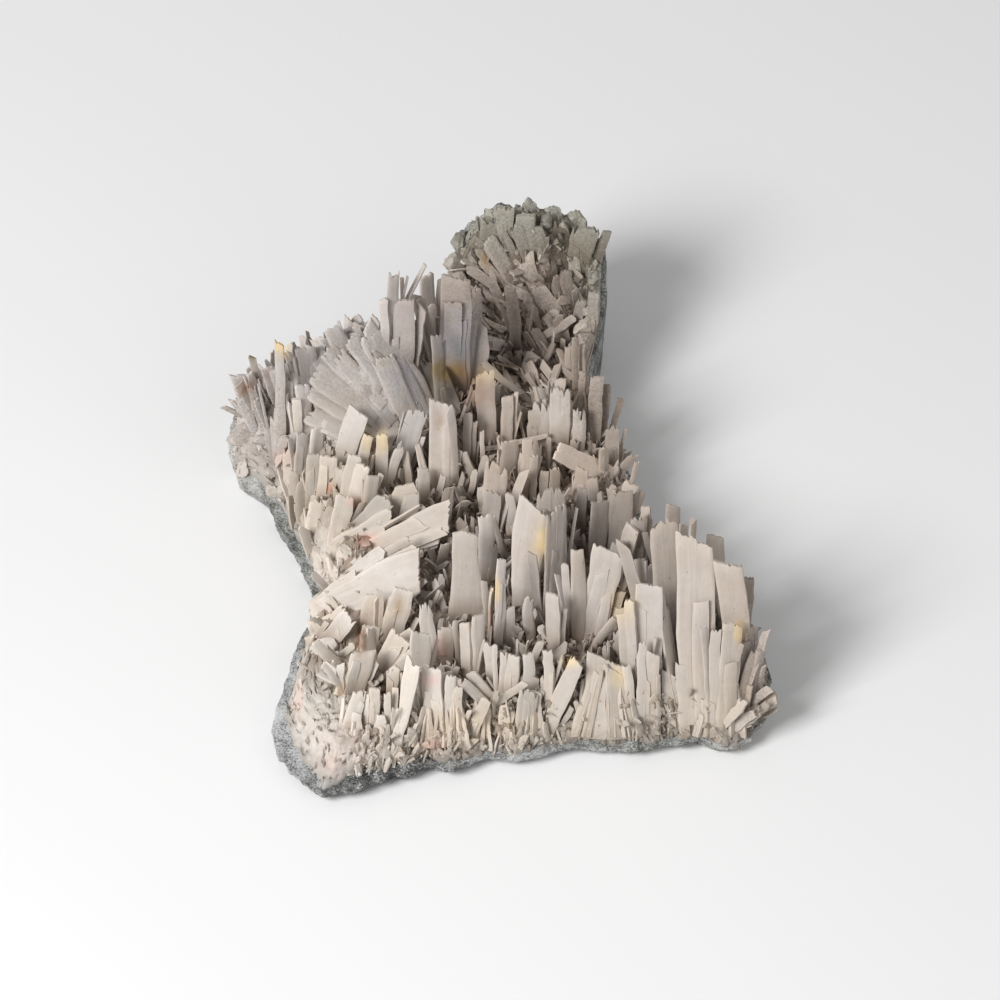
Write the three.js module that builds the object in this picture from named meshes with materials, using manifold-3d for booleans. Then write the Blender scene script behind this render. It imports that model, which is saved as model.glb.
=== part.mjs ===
// Quartz pseudomorph specimen: a slab of host rock carrying a crust of blade-shaped quartz crystals.
// Millimetres, +Z up, X across, Y from the front edge to the back. The slab rests on its flat underside.
//
// The blades are set out on a drawing sheet that leans back 45 degrees over the specimen: X is the width
// and S the height up the sheet, so a point (x, y, z) lies on the sheet at x and S = (y + z) / SHEET_RISE.
import * as THREE from "three";
import { mergeVertices } from "three/examples/jsm/utils/BufferGeometryUtils.js";
import Module from "manifold-3d";

const wasm = await Module();
wasm.setup();

const SHEET_RISE = Math.SQRT2;
const MIDDLE = { x: -5, y: 80 };
const ROCK_CORE_HEIGHT = 7;
const ROCK_EDGE_RUN = 15;
const SEAM_GAP = 0.35;
const SEAM_OVERLAP = 1;
const RIM_CLEARANCE = 1.004;
const CRUST_LIP = 1.3;
const CRUST_THICKNESS = 7;
const CRUST_EDGE_RUN = 7;
const FOOT_DEPTH = 3.2;
const FOOT_SINK = 1;
const FOOT_MARGIN = 2.5;
const FOOT_STEP = 0.25;
const DEPTH = 170;
const ROCK_GREY = 0x9aa29c;
const QUARTZ_CREAM = 0xd8ccc0;
const SQUARE_TIP = 0.12;
const TIP_SHARE = 0.92;
const PEAKED_WIDTH = 5.5;
const PEAK_SHARE = 0.4;
const FOOT_SHARE = 0.955;
const BELLY_SHARE = 0.999;
const BELLY_HEIGHT = 0.45;
const SHOULDER_SHARE = 0.985;
const CRUST_TOP_SHARE = 0.99;
const OFF_MIDDLE = 0.01;
const FILL_SPACING = 11.5;
const FILL_CLEARANCE = 6.2;
const FILL_START = 12;
const FILL_SEED = 41;
const FILL_CORNER = { x: -70, y: -10 };
const FILL_ROWS = 17;
const FILL_COLUMNS = 13;
const FILL_TURN = 120;
const FILL_SWAY = { x: 0.6, y: 0.5 };
const FILL_OFF_SLOPE = 0.35;
const FILL_FRONT_REACH = 95;
const FILL_BACK_LEAN = 0.25;
const FILL_LENGTH = { least: 6, range: 7 };
const FILL_WIDTH = { least: 2.6, range: 2.2 };
const FILL_THICKNESS = 1.6;
const FILL_SINK = 0.5;
const WELD = 1e-4;
// A repeatable stream of numbers: each state is the last one times a step plus a shift, kept in a range.
const STREAM_STEP = 1103515245;
const STREAM_SHIFT = 12345;
const STREAM_RANGE = 2147483648;
const STREAM_SKIP = 65536;
const STREAM_SHARE = 32768;

// Plan of the slab, anticlockwise from the front left corner:
// [x, y, height of the rock at the rim, distance from the rim to the edge of the crust]
const RIM = [
  [-49, -5, 4, 3.5], [-43, -10.5, 4, 3], [-34, -8, 5, 2.5], [-26, -4.5, 5, 2], [-18, -1, 4, 1.5],
  [-11, -0.5, 4, 1.5], [-4, 2.8, 4, 1.5], [4, 1.6, 4, 1.5], [12, 4.4, 4, 1.5], [20, 6.5, 4, 1.5],
  [30, 5.2, 4, 1.5], [40, 6.6, 4, 1.5], [49, 9, 4, 1.5], [56, 5.4, 4, 1.5], [62, 8.5, 4, 1.5],
  [66.5, 16, 6, 2], [67, 26, 8, 2], [64.5, 35, 9, 2], [61, 43, 9, 2], [55.5, 51, 8, 2],
  [47, 59.5, 8, 2], [40, 67, 8, 2], [35.5, 75, 10, 2], [34.5, 85, 12, 2], [32, 95, 13, 2],
  [28, 106, 13, 2], [23.5, 116, 13, 2], [23.5, 128, 17, 2], [26.5, 141, 24, 2], [26.5, 153, 34, 2.5],
  [19, 162, 38, 3], [9, 166, 40, 3], [0, 165, 40, 3], [-8, 159, 36, 3], [-13, 150, 28, 2.5],
  [-16, 141, 20, 2], [-26, 136, 16, 2], [-38, 134, 14, 2], [-50, 130, 12, 2], [-61, 125, 10, 2],
  [-67, 116, 10, 2], [-69, 107, 9, 2], [-67, 99, 8, 2], [-60.5, 94, 7, 2], [-57, 86, 7, 2.5],
  [-54, 77, 6, 3], [-50, 68.5, 6, 2.5], [-47, 61, 6, 2], [-46, 53, 6, 2], [-49, 43, 6, 2.5],
  [-51.5, 33, 6, 3.5], [-54, 22, 6, 5], [-56.5, 12, 5, 6], [-54, 2, 4, 5],
];

// Rises of the rock under the crust: [x, y, reach in x, reach in y, height]
const RISES = [
  [-34, 108, 19, 17, 31], [-62, 108, 10, 14, 8], [-38, 72, 16, 22, 6], [9, 156, 20, 17, 29],
  [5, 100, 28, 22, 6],
];

// Blades: [foot X, foot S, tip X, tip S, lean, width, thickness, turn in degrees, slant of the tip]
// lean is the share of the climb that goes backwards: 0 stands upright, 0.5 lies along the sheet.
const RIGHT_STAND = [
  [49.3, 14, 47.7, 59.5, 0.36, 9, 2, -4, 0.35], [42, 30, 40.2, 63.5, 0.3, 7, 1.8, 10, -0.2],
  [42, 48, 43, 67, 0.2, 3.8, 1.5, 0, 0.2], [46, 38, 45.2, 62, 0.27, 2.6, 1.5, 15, 0],
  [60, 35, 55.7, 53.3, 0.27, 7, 1.8, -6, 0.1], [55, 12, 57, 38, 0.3, 5.5, 1.8, -5, 0.3],
  [51.5, 11, 52.8, 36, 0.3, 2.8, 1.6, 20, 0], [62.5, 22, 63, 37, 0.2, 4, 1.8, 25, 0],
  [62.3, 19, 65.8, 34, 0.1, 3, 2.6, 40, 0], [53, 38, 53.3, 59.5, 0.27, 4.6, 1.8, 20, 0.4],
  [60, 34, 60.8, 48.5, 0.1, 3.6, 2, 30, 0], [57, 12, 64, 16.5, 0.1, 3, 1.6, 0, 0],
  [61, 14, 68.3, 19.5, 0, 3.6, 1.6, 0, 0.3], [62.4, 19.5, 63.8, 25.5, 0.2, 3, 2.4, 20, 0],
  [59.5, 20, 60, 33, 0.25, 3.5, 1.7, 15, -0.3], [56.5, 34, 59, 44, 0.2, 3, 1.6, 20, 0],
];
const MIDDLE_STAND = [
  [36, 21, 36.5, 47.5, 0.33, 8, 2, 0, 0.2], [34, 33, 34.5, 54, 0.27, 5, 1.7, -15, -0.3],
  [33, 20, 32, 44, 0.33, 2.8, 1.6, -25, 0], [43.2, 11, 42.5, 26.5, 0.3, 6.5, 1.8, 8, 0.8],
  [37, 13, 37.5, 31, 0.3, 3.5, 1.6, 10, 0.3], [44.5, 19, 45, 27, 0.3, 3, 2.2, 0, 0],
  [22.5, 33, 27, 56, 0.3, 8, 1.8, 0, 0.2], [19.5, 33, 19.2, 55.5, 0.28, 4, 1.7, -10, 0],
  [30, 48, 33, 62, 0.25, 4.3, 1.7, 0, 0.3], [29, 46, 29.5, 58, 0.25, 4, 1.7, 10, 0],
  [29, 51, 30.5, 71, 0.25, 6.5, 1.8, 0, -0.2], [24, 50, 24.8, 67.8, 0.25, 5, 1.8, 10, 0.2],
  [34.5, 49, 34.3, 64, 0.25, 5, 2, 0, 0], [29.5, 29, 30, 36, 0.25, 4, 1.8, 0, 0],
  [39.5, 33, 39, 46, 0.27, 3, 1.6, 25, 0],
];
const CENTRE = [
  [5, 39, 8.3, 69, 0.33, 8.6, 2, 0, 0.75], [13, 38, 14, 66, 0.25, 5.5, 1.8, 12, 0.2],
  [15.5, 41, 15, 62, 0.3, 3, 1.7, 15, 0], [-0.3, 31, 0.2, 53.5, 0.3, 2.7, 1.6, 0, 0],
  [-3.5, 47, -3.5, 64, 0.25, 4, 1.7, 10, 0], [-9, 39, -9, 60, 0.3, 7, 1.8, 0, 0.2],
  [-8.5, 54, -9.5, 63.5, 0.2, 3, 1.6, 0, 0], [-5, 23, -5.5, 39.5, 0.3, 3.5, 1.7, 0, 0.2],
  [-8, 23, -8.5, 38, 0.3, 3, 1.6, -10, -0.2], [-17, 38, -5, 39, 0, 4, 1.8, 0, 0],
  [-16, 27, -18.5, 43, 0.3, 3.8, 1.7, 0, 0.3], [2.5, 19, 3, 30, 0.3, 4.2, 1.7, 0, 0.2],
  [7, 19, 6.8, 30, 0.3, 3.2, 1.7, 0, -0.2], [2, 32, 2, 41.3, 0.25, 4, 1.7, 0, 0],
  [7.5, 33, 6.8, 44, 0.25, 3, 1.7, 0, 0], [12, 17, 11.8, 31, 0.3, 2.6, 1.6, 10, 0],
  [13.5, 29, 13, 45, 0.25, 4, 1.7, 0, 0.2], [13, 54, 12.5, 71, 0.25, 7.5, 1.8, 0, -0.3],
];
const FRONT_FANS = [
  [26, 12, 26.3, 30.6, 0.38, 12, 2.2, 0, 0.42], [20.3, 11, 20.8, 24, 0.35, 2.6, 1.5, 35, 0],
  [12, 12, 18.8, 29, 0.3, 4.5, 1.6, 0, 0.3], [6, 11, 7, 22, 0.3, 5, 1.6, 0, 0],
  [1, 10, 2, 18, 0.35, 4, 1.6, 10, 0.2], [-8, 9, -3.5, 19.5, 0.3, 3, 1.6, 0, 0],
  [-16, 12, -17, 27, 0.3, 5, 1.7, 0, 0.3], [-12.5, 11, -12, 25, 0.3, 3, 1.6, 0, 0],
  [-24.2, 5, -22.2, 29, 0.33, 3, 1.8, 12, 0], [-20.5, 20, -19.5, 36, 0.3, 5.5, 1.8, 0, 0.2],
  [-31, 12, -30.7, 22, 0.3, 2.8, 1.7, 0, 0], [-37.5, 12, -34.3, 21, 0.25, 3.5, 1.8, 20, 0],
];
const LEFT_SLOPE = [
  [-43, 41.7, -19, 50.6, 0.1, 9.5, 2.2, 0, 0.1], [-29, 56.5, -11.5, 63.8, 0.1, 6.5, 1.8, 0, 0.3],
  [-36, 60, -27.5, 68.8, 0.2, 5, 1.7, 0, 0], [-25, 60, -22.5, 73, 0.25, 7, 1.8, 0, 0],
  [-42, 52.5, -29, 58.5, 0.1, 7, 1.8, 0, 0], [-27, 33, -24, 46, 0.25, 6, 1.8, 0, 0],
  [-33, 35, -31.3, 44.5, 0.25, 4, 1.6, 0, 0], [-34, 27, -31.5, 37, 0.2, 4.5, 1.8, -10, 0],
  [-36, 20, -33.5, 31, 0.25, 6, 1.8, 0, 0], [-29, 25, -23.5, 34.5, 0.2, 7, 1.8, 0, 0],
  [-27, 19, -25.5, 27.5, 0.3, 3, 1.6, 10, 0], [-38.5, 26, -46.2, 33, 0.1, 2.6, 1.6, 0, 0],
  [-43, 33, -37, 39, 0.2, 5, 1.7, 0, 0], [-43.5, 56, -41.3, 66.5, 0.25, 4, 1.6, 0, 0],
  [-41, 57, -38.3, 69.5, 0.25, 5, 1.6, 0, 0.3], [-37, 65, -34, 77, 0.25, 4, 1.6, 0, 0],
  [-39, 66, -36, 79, 0.25, 4, 1.6, 10, 0], [-33, 63, -31.5, 74, 0.25, 3.5, 1.6, 0, 0],
  [-46.5, 58, -46, 68, 0.25, 4, 1.6, 0, 0], [-49.5, 61, -48.7, 73, 0.2, 4, 1.6, 10, 0],
  [-52, 64, -51.2, 75, 0.15, 2.6, 1.6, 0, 0], [-47, 69, -46.3, 79.5, 0.2, 4, 1.6, 0, 0],
  [-43.5, 69, -42.8, 79, 0.2, 4.5, 1.6, -10, 0], [-53, 71, -52.6, 80.5, 0.2, 3, 1.6, 0, 0],
  [-40.5, 75, -35, 90.5, 0.28, 6, 1.8, 0, 0.2], [-46.5, 78, -45, 86, 0.25, 4, 2, 20, 0],
];
const MIDDLE_BACK = [
  [-25.5, 75, -20.5, 90, 0.25, 5, 1.7, 0, 0], [-15, 69, -15, 93, 0.28, 5.8, 1.8, 0, 0.1],
  [-11, 69, -12.2, 91, 0.28, 2.2, 1.7, 0, 0], [-30, 70, -29.3, 84.8, 0.25, 3.2, 1.6, 0, 0],
  [-35.5, 70, -33, 84.3, 0.25, 3, 1.6, 0, 0], [-8.3, 76, -8, 89.7, 0.25, 2.3, 1.6, 0, 0],
  [-3.3, 81, -3.7, 100, 0.2, 5, 1.7, 0, -0.2], [-2, 62, -0.5, 77.5, 0.25, 6, 1.8, 0, 0.3],
  [-3, 58, -1.5, 70, 0.25, 4.5, 1.7, 0, 0], [1.5, 73, 2.5, 82.5, 0.2, 5, 1.7, 0, 0],
  [-19, 66, -19.5, 76, 0.25, 3, 1.6, 10, 0], [11, 81, 10, 92, 0.2, 4, 1.7, 0, 0],
  [15, 80, 15, 97, 0.2, 5.5, 1.8, 0, 0.3], [19.8, 79, 19.5, 90, 0.2, 3.6, 1.7, 0, 0],
  [21, 84, 21.5, 95, 0.15, 4.5, 1.7, 0, 0.2], [23.5, 82, 24.2, 98.3, 0.15, 3.5, 1.8, 0, 0],
  [25, 82, 26, 97, 0.15, 3.5, 1.8, 0, 0], [28, 76, 28.2, 86.5, 0.15, 3.5, 1.7, 0, 0],
  [28.5, 72.5, 14, 80.3, 0, 4.5, 1.7, 0, 0], [6, 67, 6.8, 83.3, 0.25, 2.8, 1.6, 0, 0],
  [19, 66, 20.5, 76, 0.2, 3.5, 1.7, 0, 0], [1.5, 80, 1.8, 93.5, 0.2, 3, 1.6, 0, 0],
  [10.5, 91, -4.7, 102.3, 0.1, 1.8, 1.8, 0, 0], [8, 81, 8.3, 90.5, 0.2, 3, 1.6, 0, 0],
  [29.5, 62, 33, 72, 0.15, 4, 1.8, 10, 0],
];
const MOUND_SHINGLES = [
  [-14, 91, -20.5, 102, 0.4, 5, 1.5, 45, 0], [-15.5, 92, -22.5, 103.5, 0.4, 5, 1.5, 45, 0],
  [-12, 91, -17, 103, 0.35, 4, 1.6, 20, 0], [-19.5, 93, -27, 105.5, 0.42, 5, 1.5, 30, 0],
  [-19, 88.5, -28, 103, 0.43, 6, 1.5, 10, 0.2], [-26, 92, -34, 107, 0.43, 6, 1.5, 5, 0.2],
  [-27, 87.5, -36.5, 100, 0.43, 6, 1.5, 5, 0], [-31, 87, -41, 99, 0.43, 6.5, 1.5, 5, 0.2],
  [-36, 87, -45.5, 98, 0.43, 6, 1.5, 5, -0.2], [-30, 97, -37, 109.5, 0.4, 6, 1.5, 5, 0],
  [-34, 102, -33, 114, 0.3, 4.5, 1.6, 0, 0], [-38, 96, -44.5, 107, 0.4, 6, 1.5, 0, 0.2],
  [-41, 88, -50, 97, 0.4, 5, 1.5, 0, 0], [-41.5, 101, -47, 109, 0.38, 5, 1.6, 0, 0],
  [-24, 95, -30, 110.5, 0.42, 5, 1.5, 20, 0], [-43, 84, -49, 91.5, 0.4, 5, 1.5, 0, 0],
];
const LEFT_LOBE = [
  [-55, 76, -54.5, 107.2, 0.12, 2.6, 1.7, 0, 0.4], [-59.5, 92, -62.3, 104.3, 0.15, 2, 1.6, 0, 0.3],
  [-62, 90, -66.3, 99.6, 0.15, 4.5, 2, 15, 0.3], [-59.5, 90, -63.2, 99.2, 0.15, 3, 1.7, 10, 0],
  [-55.5, 92, -58.5, 101, 0.15, 3.6, 1.7, 10, 0.2], [-59, 85, -62.5, 96, 0.15, 2.2, 1.6, 0, 0],
  [-52.5, 84, -52.8, 97.5, 0.15, 2.6, 1.6, 10, 0], [-49, 84, -49.3, 97, 0.2, 4, 1.7, 0, 0.2],
  [-47, 94, -48.5, 106, 0.2, 5, 1.8, 0, 0],
];
const TALL_BEHIND_MOUND = [
  [-26.8, 105.5, -26.3, 124.5, 0.12, 2.8, 1.7, 0, 0], [-28.5, 105, -28.8, 118.2, 0.12, 2.3, 1.6, 0, 0],
  [-24.3, 102, -23.8, 117.2, 0.15, 5.5, 1.7, 0, 0], [-29, 106.5, -18.8, 126.6, 0.3, 1.2, 1.2, 0, 0],
  [-18.3, 106, -18, 124.8, 0.12, 4, 1.8, 15, 0], [-11, 95, -10.9, 124.5, 0.15, 8, 2, 0, 0],
  [-14.5, 91, -16, 109, 0.15, 3, 1.7, 20, 0], [-14, 108, -14.5, 124.2, 0.12, 4, 1.7, 0, 0],
  [-8.8, 94.5, -10.5, 117, 0.2, 9, 1.7, 0, 0.25],
];
const BACK_LOBE = [
  [3.5, 123, -3.3, 134, 0.3, 4.6, 1.8, 0, 0], [10, 121, 5.8, 128.3, 0.3, 4, 1.8, 0, 0],
  [14.5, 114.5, 9, 122, 0.3, 5, 1.8, 0, 0], [4.5, 106.5, 2.8, 122.5, 0.15, 3.2, 1.7, 0, 0],
  [18.5, 117, 16, 126, 0.2, 3.5, 1.7, 0, 0], [7, 128.5, 4.5, 136.8, 0.2, 3.5, 1.8, 0, 0],
  [11, 130, 8, 137.6, 0.2, 4.5, 2, 0, 0], [1.5, 133, 1.5, 141.8, 0.1, 4.5, 3, 0, 0.3],
  [6.5, 133, 6.5, 140, 0.1, 5, 3, 0, 0], [-3.5, 131, -2.2, 139.6, 0.15, 5, 2.8, 0, 0.2],
  [-7.5, 129, -8, 137.6, 0.15, 5.5, 3, 0, 0], [-10, 122, -11, 131, 0.1, 5, 3, 0, 0],
  [-6, 122, -8, 131, 0.2, 4, 2.5, 0, 0], [20.5, 129, 20.5, 137.3, 0.15, 7, 3, 0, 0],
  [16, 130, 15.5, 136.5, 0.15, 4, 2.5, 0, 0], [23, 126, 25.5, 134.5, 0.1, 4, 3, 0, 0],
  [22, 119, 26.5, 128.5, 0.1, 4, 3, 0, 0], [23, 111, 24, 120, 0.2, 3, 2, 0, 0],
  [-3, 110.5, 4.5, 111.7, 0, 2.6, 1.7, 0, 0], [19, 110, 21, 118.5, 0.2, 3, 1.7, 0, 0],
];
const BLADES = [
  ...RIGHT_STAND, ...MIDDLE_STAND, ...CENTRE, ...FRONT_FANS, ...LEFT_SLOPE, ...MIDDLE_BACK,
  ...MOUND_SHINGLES, ...LEFT_LOBE, ...TALL_BEHIND_MOUND, ...BACK_LOBE,
];

function smoothStep(from, to, value) {
  const t = Math.min(1, Math.max(0, (value - from) / (to - from)));
  return t * t * (3 - 2 * t);
}

const RIM_ANGLES = RIM.map(([x, y]) => Math.atan2(y - MIDDLE.y, x - MIDDLE.x));

// Where the ray from the middle through (x, y) crosses the rim, with the rim's own figures there.
function rimAlong(x, y) {
  const angle = Math.atan2(y - MIDDLE.y, x - MIDDLE.x);
  const full = 2 * Math.PI;
  for (let i = 0; i < RIM.length; i += 1) {
    const next = (i + 1) % RIM.length;
    const span = (RIM_ANGLES[next] - RIM_ANGLES[i] + full) % full;
    const offset = (angle - RIM_ANGLES[i] + full) % full;
    if (offset <= span) {
      const [x0, y0, z0, inset0] = RIM[i];
      const [x1, y1, z1, inset1] = RIM[next];
      const rayX = Math.cos(angle);
      const rayY = Math.sin(angle);
      const cross = rayX * (y1 - y0) - rayY * (x1 - x0);
      const share = ((x0 - MIDDLE.x) * -rayY + (y0 - MIDDLE.y) * rayX) / -cross;
      const rimX = x0 + (x1 - x0) * share;
      const rimY = y0 + (y1 - y0) * share;
      return {
        reach: Math.hypot(rimX - MIDDLE.x, rimY - MIDDLE.y),
        height: z0 + (z1 - z0) * share,
        inset: inset0 + (inset1 - inset0) * share,
      };
    }
  }
  throw new Error("the rim has a gap");
}

function rockHeight(x, y) {
  const rim = rimAlong(x, y);
  const inside = rim.reach - Math.hypot(x - MIDDLE.x, y - MIDDLE.y);
  let core = ROCK_CORE_HEIGHT;
  for (const [cx, cy, rx, ry, height] of RISES) {
    core += height * Math.exp(-(((x - cx) / rx) ** 2) - ((y - cy) / ry) ** 2);
  }
  const share = smoothStep(0, ROCK_EDGE_RUN, inside);
  return rim.height + (core - rim.height) * share;
}

function crustHeight(x, y) {
  const rim = rimAlong(x, y);
  const inside = rim.reach - Math.hypot(x - MIDDLE.x, y - MIDDLE.y) - rim.inset;
  const cover = CRUST_LIP + (CRUST_THICKNESS - CRUST_LIP) * smoothStep(0, CRUST_EDGE_RUN, inside);
  return rockHeight(x, y) + cover;
}

// A closed body made of rings round a middle point, from the lower middle out and up to the upper middle.
function ringBody(lowest, rings, highest) {
  const count = rings[0].length;
  const positions = [...lowest];
  const triangles = [];
  rings.forEach((ring) => ring.forEach((point) => positions.push(...point)));
  positions.push(...highest);
  const top = rings.length * count + 1;
  const at = (ring, i) => 1 + ring * count + (i % count);
  for (let i = 0; i < count; i += 1) {
    triangles.push(0, at(0, i + 1), at(0, i));
    for (let ring = 0; ring + 1 < rings.length; ring += 1) {
      triangles.push(at(ring, i), at(ring, i + 1), at(ring + 1, i + 1));
      triangles.push(at(ring, i), at(ring + 1, i + 1), at(ring + 1, i));
    }
    triangles.push(at(rings.length - 1, i), at(rings.length - 1, i + 1), top);
  }
  const geometry = new THREE.BufferGeometry();
  geometry.setAttribute("position", new THREE.Float32BufferAttribute(positions, 3));
  geometry.setIndex(triangles);
  return geometry;
}

function towardsRim(share, heightAt, inset = false) {
  return RIM.map(([x, y, , edge]) => {
    const reach = Math.hypot(x - MIDDLE.x, y - MIDDLE.y);
    const part = inset ? share * (1 - edge / reach) : share;
    const px = MIDDLE.x + (x - MIDDLE.x) * part;
    const py = MIDDLE.y + (y - MIDDLE.y) * part;
    return [px, py, heightAt(px, py)];
  });
}

const RING_SHARES = [0.3, 0.5, 0.66, 0.84];

function rockBody() {
  const rimHeight = (x, y) => rimAlong(x, y).height;
  const rings = [
    towardsRim(FOOT_SHARE, () => 0),
    towardsRim(BELLY_SHARE, (x, y) => BELLY_HEIGHT * rimHeight(x, y)),
    towardsRim(SHOULDER_SHARE, (x, y) => rockHeight(x, y)),
    towardsRim(1, (x, y) => rockHeight(x, y), true),
    ...RING_SHARES.toReversed().map((share) => towardsRim(share, rockHeight, true)),
  ];
  const middle = rockHeight(MIDDLE.x, MIDDLE.y + OFF_MIDDLE);
  return ringBody([MIDDLE.x, MIDDLE.y, 0], rings, [MIDDLE.x, MIDDLE.y, middle]);
}

// The crust dips a little into the rock, which is cut out of it afterwards to leave the seam.
function crustBody() {
  const seam = (x, y) => rockHeight(x, y) - SEAM_OVERLAP;
  const rings = [
    ...RING_SHARES.map((share) => towardsRim(share, seam, true)),
    towardsRim(1, seam, true),
    towardsRim(CRUST_TOP_SHARE, crustHeight, true),
    ...RING_SHARES.toReversed().map((share) => towardsRim(share, crustHeight, true)),
  ];
  const low = seam(MIDDLE.x, MIDDLE.y + OFF_MIDDLE);
  const high = crustHeight(MIDDLE.x, MIDDLE.y + OFF_MIDDLE);
  return ringBody([MIDDLE.x, MIDDLE.y, low], rings, [MIDDLE.x, MIDDLE.y, high]);
}

// How far (x, y) lies inside the edge of the crust.
function insideCrust(x, y) {
  const rim = rimAlong(x, y);
  return rim.reach - rim.inset - Math.hypot(x - MIDDLE.x, y - MIDDLE.y);
}

// The first place, coming from the front, where the crust meets the sheet line (x, s).
function footOnCrust(x, s) {
  const target = SHEET_RISE * s;
  for (let y = 0; y < DEPTH; y += FOOT_STEP) {
    if (insideCrust(x, y) < FOOT_MARGIN) continue;
    const surface = crustHeight(x, y);
    if (y + surface >= target) return new THREE.Vector3(x, y, Math.max(target - y, surface - FOOT_MARGIN));
  }
  throw new Error(`no crust on the sheet line ${x}, ${s}`);
}

// One flat blade from foot to tip, its broad face turned to the sheet and then by turn about its length.
// A slant above 0 lowers the right corner of the tip by that share of the width, below 0 the left one.
function bladeBody(foot, along, length, width, thickness, turn, slant) {
  const half = width / 2;
  const rightDrop = width * Math.max(slant, SQUARE_TIP);
  const leftDrop = width * Math.max(-slant, SQUARE_TIP / 2);
  const corners = [
    new THREE.Vector2(-half, -FOOT_DEPTH),
    new THREE.Vector2(half, -FOOT_DEPTH),
    new THREE.Vector2(half * TIP_SHARE, length - rightDrop),
    new THREE.Vector2(-half * TIP_SHARE, length - leftDrop),
  ];
  if (width >= PEAKED_WIDTH) {
    const peak = slant < 0 ? half * PEAK_SHARE : -half * PEAK_SHARE;
    corners.splice(3, 0, new THREE.Vector2(peak, length));
  }
  const outline = new THREE.Shape(corners);
  const geometry = new THREE.ExtrudeGeometry(outline, { depth: thickness, bevelEnabled: false });
  geometry.translate(0, 0, -thickness / 2);
  geometry.rotateY(THREE.MathUtils.degToRad(turn));
  const facing = new THREE.Vector3(0, -1, 1).projectOnPlane(along).normalize();
  const across = new THREE.Vector3().crossVectors(along, facing);
  geometry.applyMatrix4(new THREE.Matrix4().makeBasis(across, along, facing).setPosition(foot));
  return geometry;
}

function sheetBlade([footX, footS, tipX, tipS, lean, width, thickness, turn, slant]) {
  const foot = footOnCrust(footX, footS);
  foot.z -= FOOT_SINK;
  const climb = SHEET_RISE * tipS - foot.y - foot.z;
  const run = new THREE.Vector3(tipX - footX, lean * climb, (1 - lean) * climb);
  return bladeBody(foot, run.clone().normalize(), run.length(), width, thickness, turn, slant);
}

// A repeatable stream of numbers from 0 to 1.
function numberStream(seed) {
  let state = seed;
  return () => {
    state = (state * STREAM_STEP + STREAM_SHIFT) % STREAM_RANGE;
    return Math.floor(state / STREAM_SKIP) / STREAM_SHARE;
  };
}

// Short blades that fill the crust between the larger ones, standing off it and a little outwards.
function fillBlades(feet) {
  const next = numberStream(FILL_SEED);
  const blades = [];
  for (let row = 0; row < FILL_ROWS; row += 1) {
    for (let column = 0; column < FILL_COLUMNS; column += 1) {
      const x = FILL_CORNER.x + (column + next()) * FILL_SPACING;
      const y = FILL_CORNER.y + (row + next()) * FILL_SPACING;
      const size = next();
      const swayX = FILL_SWAY.x * (next() - 0.5);
      const swayY = FILL_SWAY.y * (next() - 0.5);
      const turn = FILL_TURN * (next() - 0.5);
      const clear = feet.every((foot) => Math.hypot(foot.x - x, foot.y - y) > FILL_CLEARANCE);
      if (insideCrust(x, y) < FOOT_MARGIN || !clear || y < FILL_START) continue;
      const ground = crustHeight(x, y);
      const outX = FILL_OFF_SLOPE * (ground - crustHeight(x + 1, y));
      const outY = FILL_OFF_SLOPE * (ground - crustHeight(x, y + 1));
      const back = y < FILL_FRONT_REACH ? FILL_BACK_LEAN : 0;
      const along = new THREE.Vector3(swayX + outX, swayY + outY + back, 1).normalize();
      const length = FILL_LENGTH.least + FILL_LENGTH.range * size;
      const width = FILL_WIDTH.least + FILL_WIDTH.range * next();
      const foot = new THREE.Vector3(x, y, ground - FILL_SINK);
      blades.push(bladeBody(foot, along, length, width, FILL_THICKNESS, turn, 0));
    }
  }
  return blades;
}

function toSolid(geometry) {
  const bare = geometry.clone();
  bare.deleteAttribute("normal");
  bare.deleteAttribute("uv");
  const merged = mergeVertices(bare, WELD);
  return new wasm.Manifold(new wasm.Mesh({
    numProp: 3,
    vertProperties: new Float32Array(merged.attributes.position.array),
    triVerts: new Uint32Array(merged.index.array),
  }));
}

// The largest connected body of a solid, so that crumbs cut loose at the rim and sealed pockets drop out.
function largestBody(solid) {
  const mesh = solid.getMesh();
  const corners = mesh.triVerts;
  const leader = Array.from({ length: mesh.vertProperties.length / 3 }, (_, i) => i);
  const find = (i) => {
    let at = i;
    while (leader[at] !== at) at = leader[at];
    leader[i] = at;
    return at;
  };
  for (let i = 0; i < corners.length; i += 3) {
    leader[find(corners[i + 1])] = find(corners[i]);
    leader[find(corners[i + 2])] = find(corners[i]);
  }
  const sizes = new Map();
  for (const corner of corners) sizes.set(find(corner), (sizes.get(find(corner)) ?? 0) + 1);
  const largest = [...sizes].reduce((best, entry) => (entry[1] > best[1] ? entry : best))[0];
  const geometry = new THREE.BufferGeometry();
  const kept = corners.filter((corner) => find(corner) === largest);
  geometry.setAttribute("position", new THREE.BufferAttribute(new Float32Array(mesh.vertProperties), 3));
  geometry.setIndex(new THREE.BufferAttribute(new Uint32Array(kept), 1));
  return geometry;
}

function joined(solids) {
  return solids.reduce((whole, solid) => whole.add(solid));
}

function quartzBody() {
  const feet = BLADES.map(([x, s]) => footOnCrust(x, s));
  const blades = [...BLADES.map(sheetBlade), ...fillBlades(feet)].map(toSolid);
  const above = rockBody();
  above.translate(0, 0, SEAM_GAP);
  const around = rockBody();
  around.translate(-MIDDLE.x, -MIDDLE.y, 0);
  around.scale(RIM_CLEARANCE, RIM_CLEARANCE, 1);
  around.translate(MIDDLE.x, MIDDLE.y, 0);
  const grown = joined([toSolid(crustBody()), ...blades]);
  return largestBody(grown.subtract(toSolid(above)).subtract(toSolid(around)));
}

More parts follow.
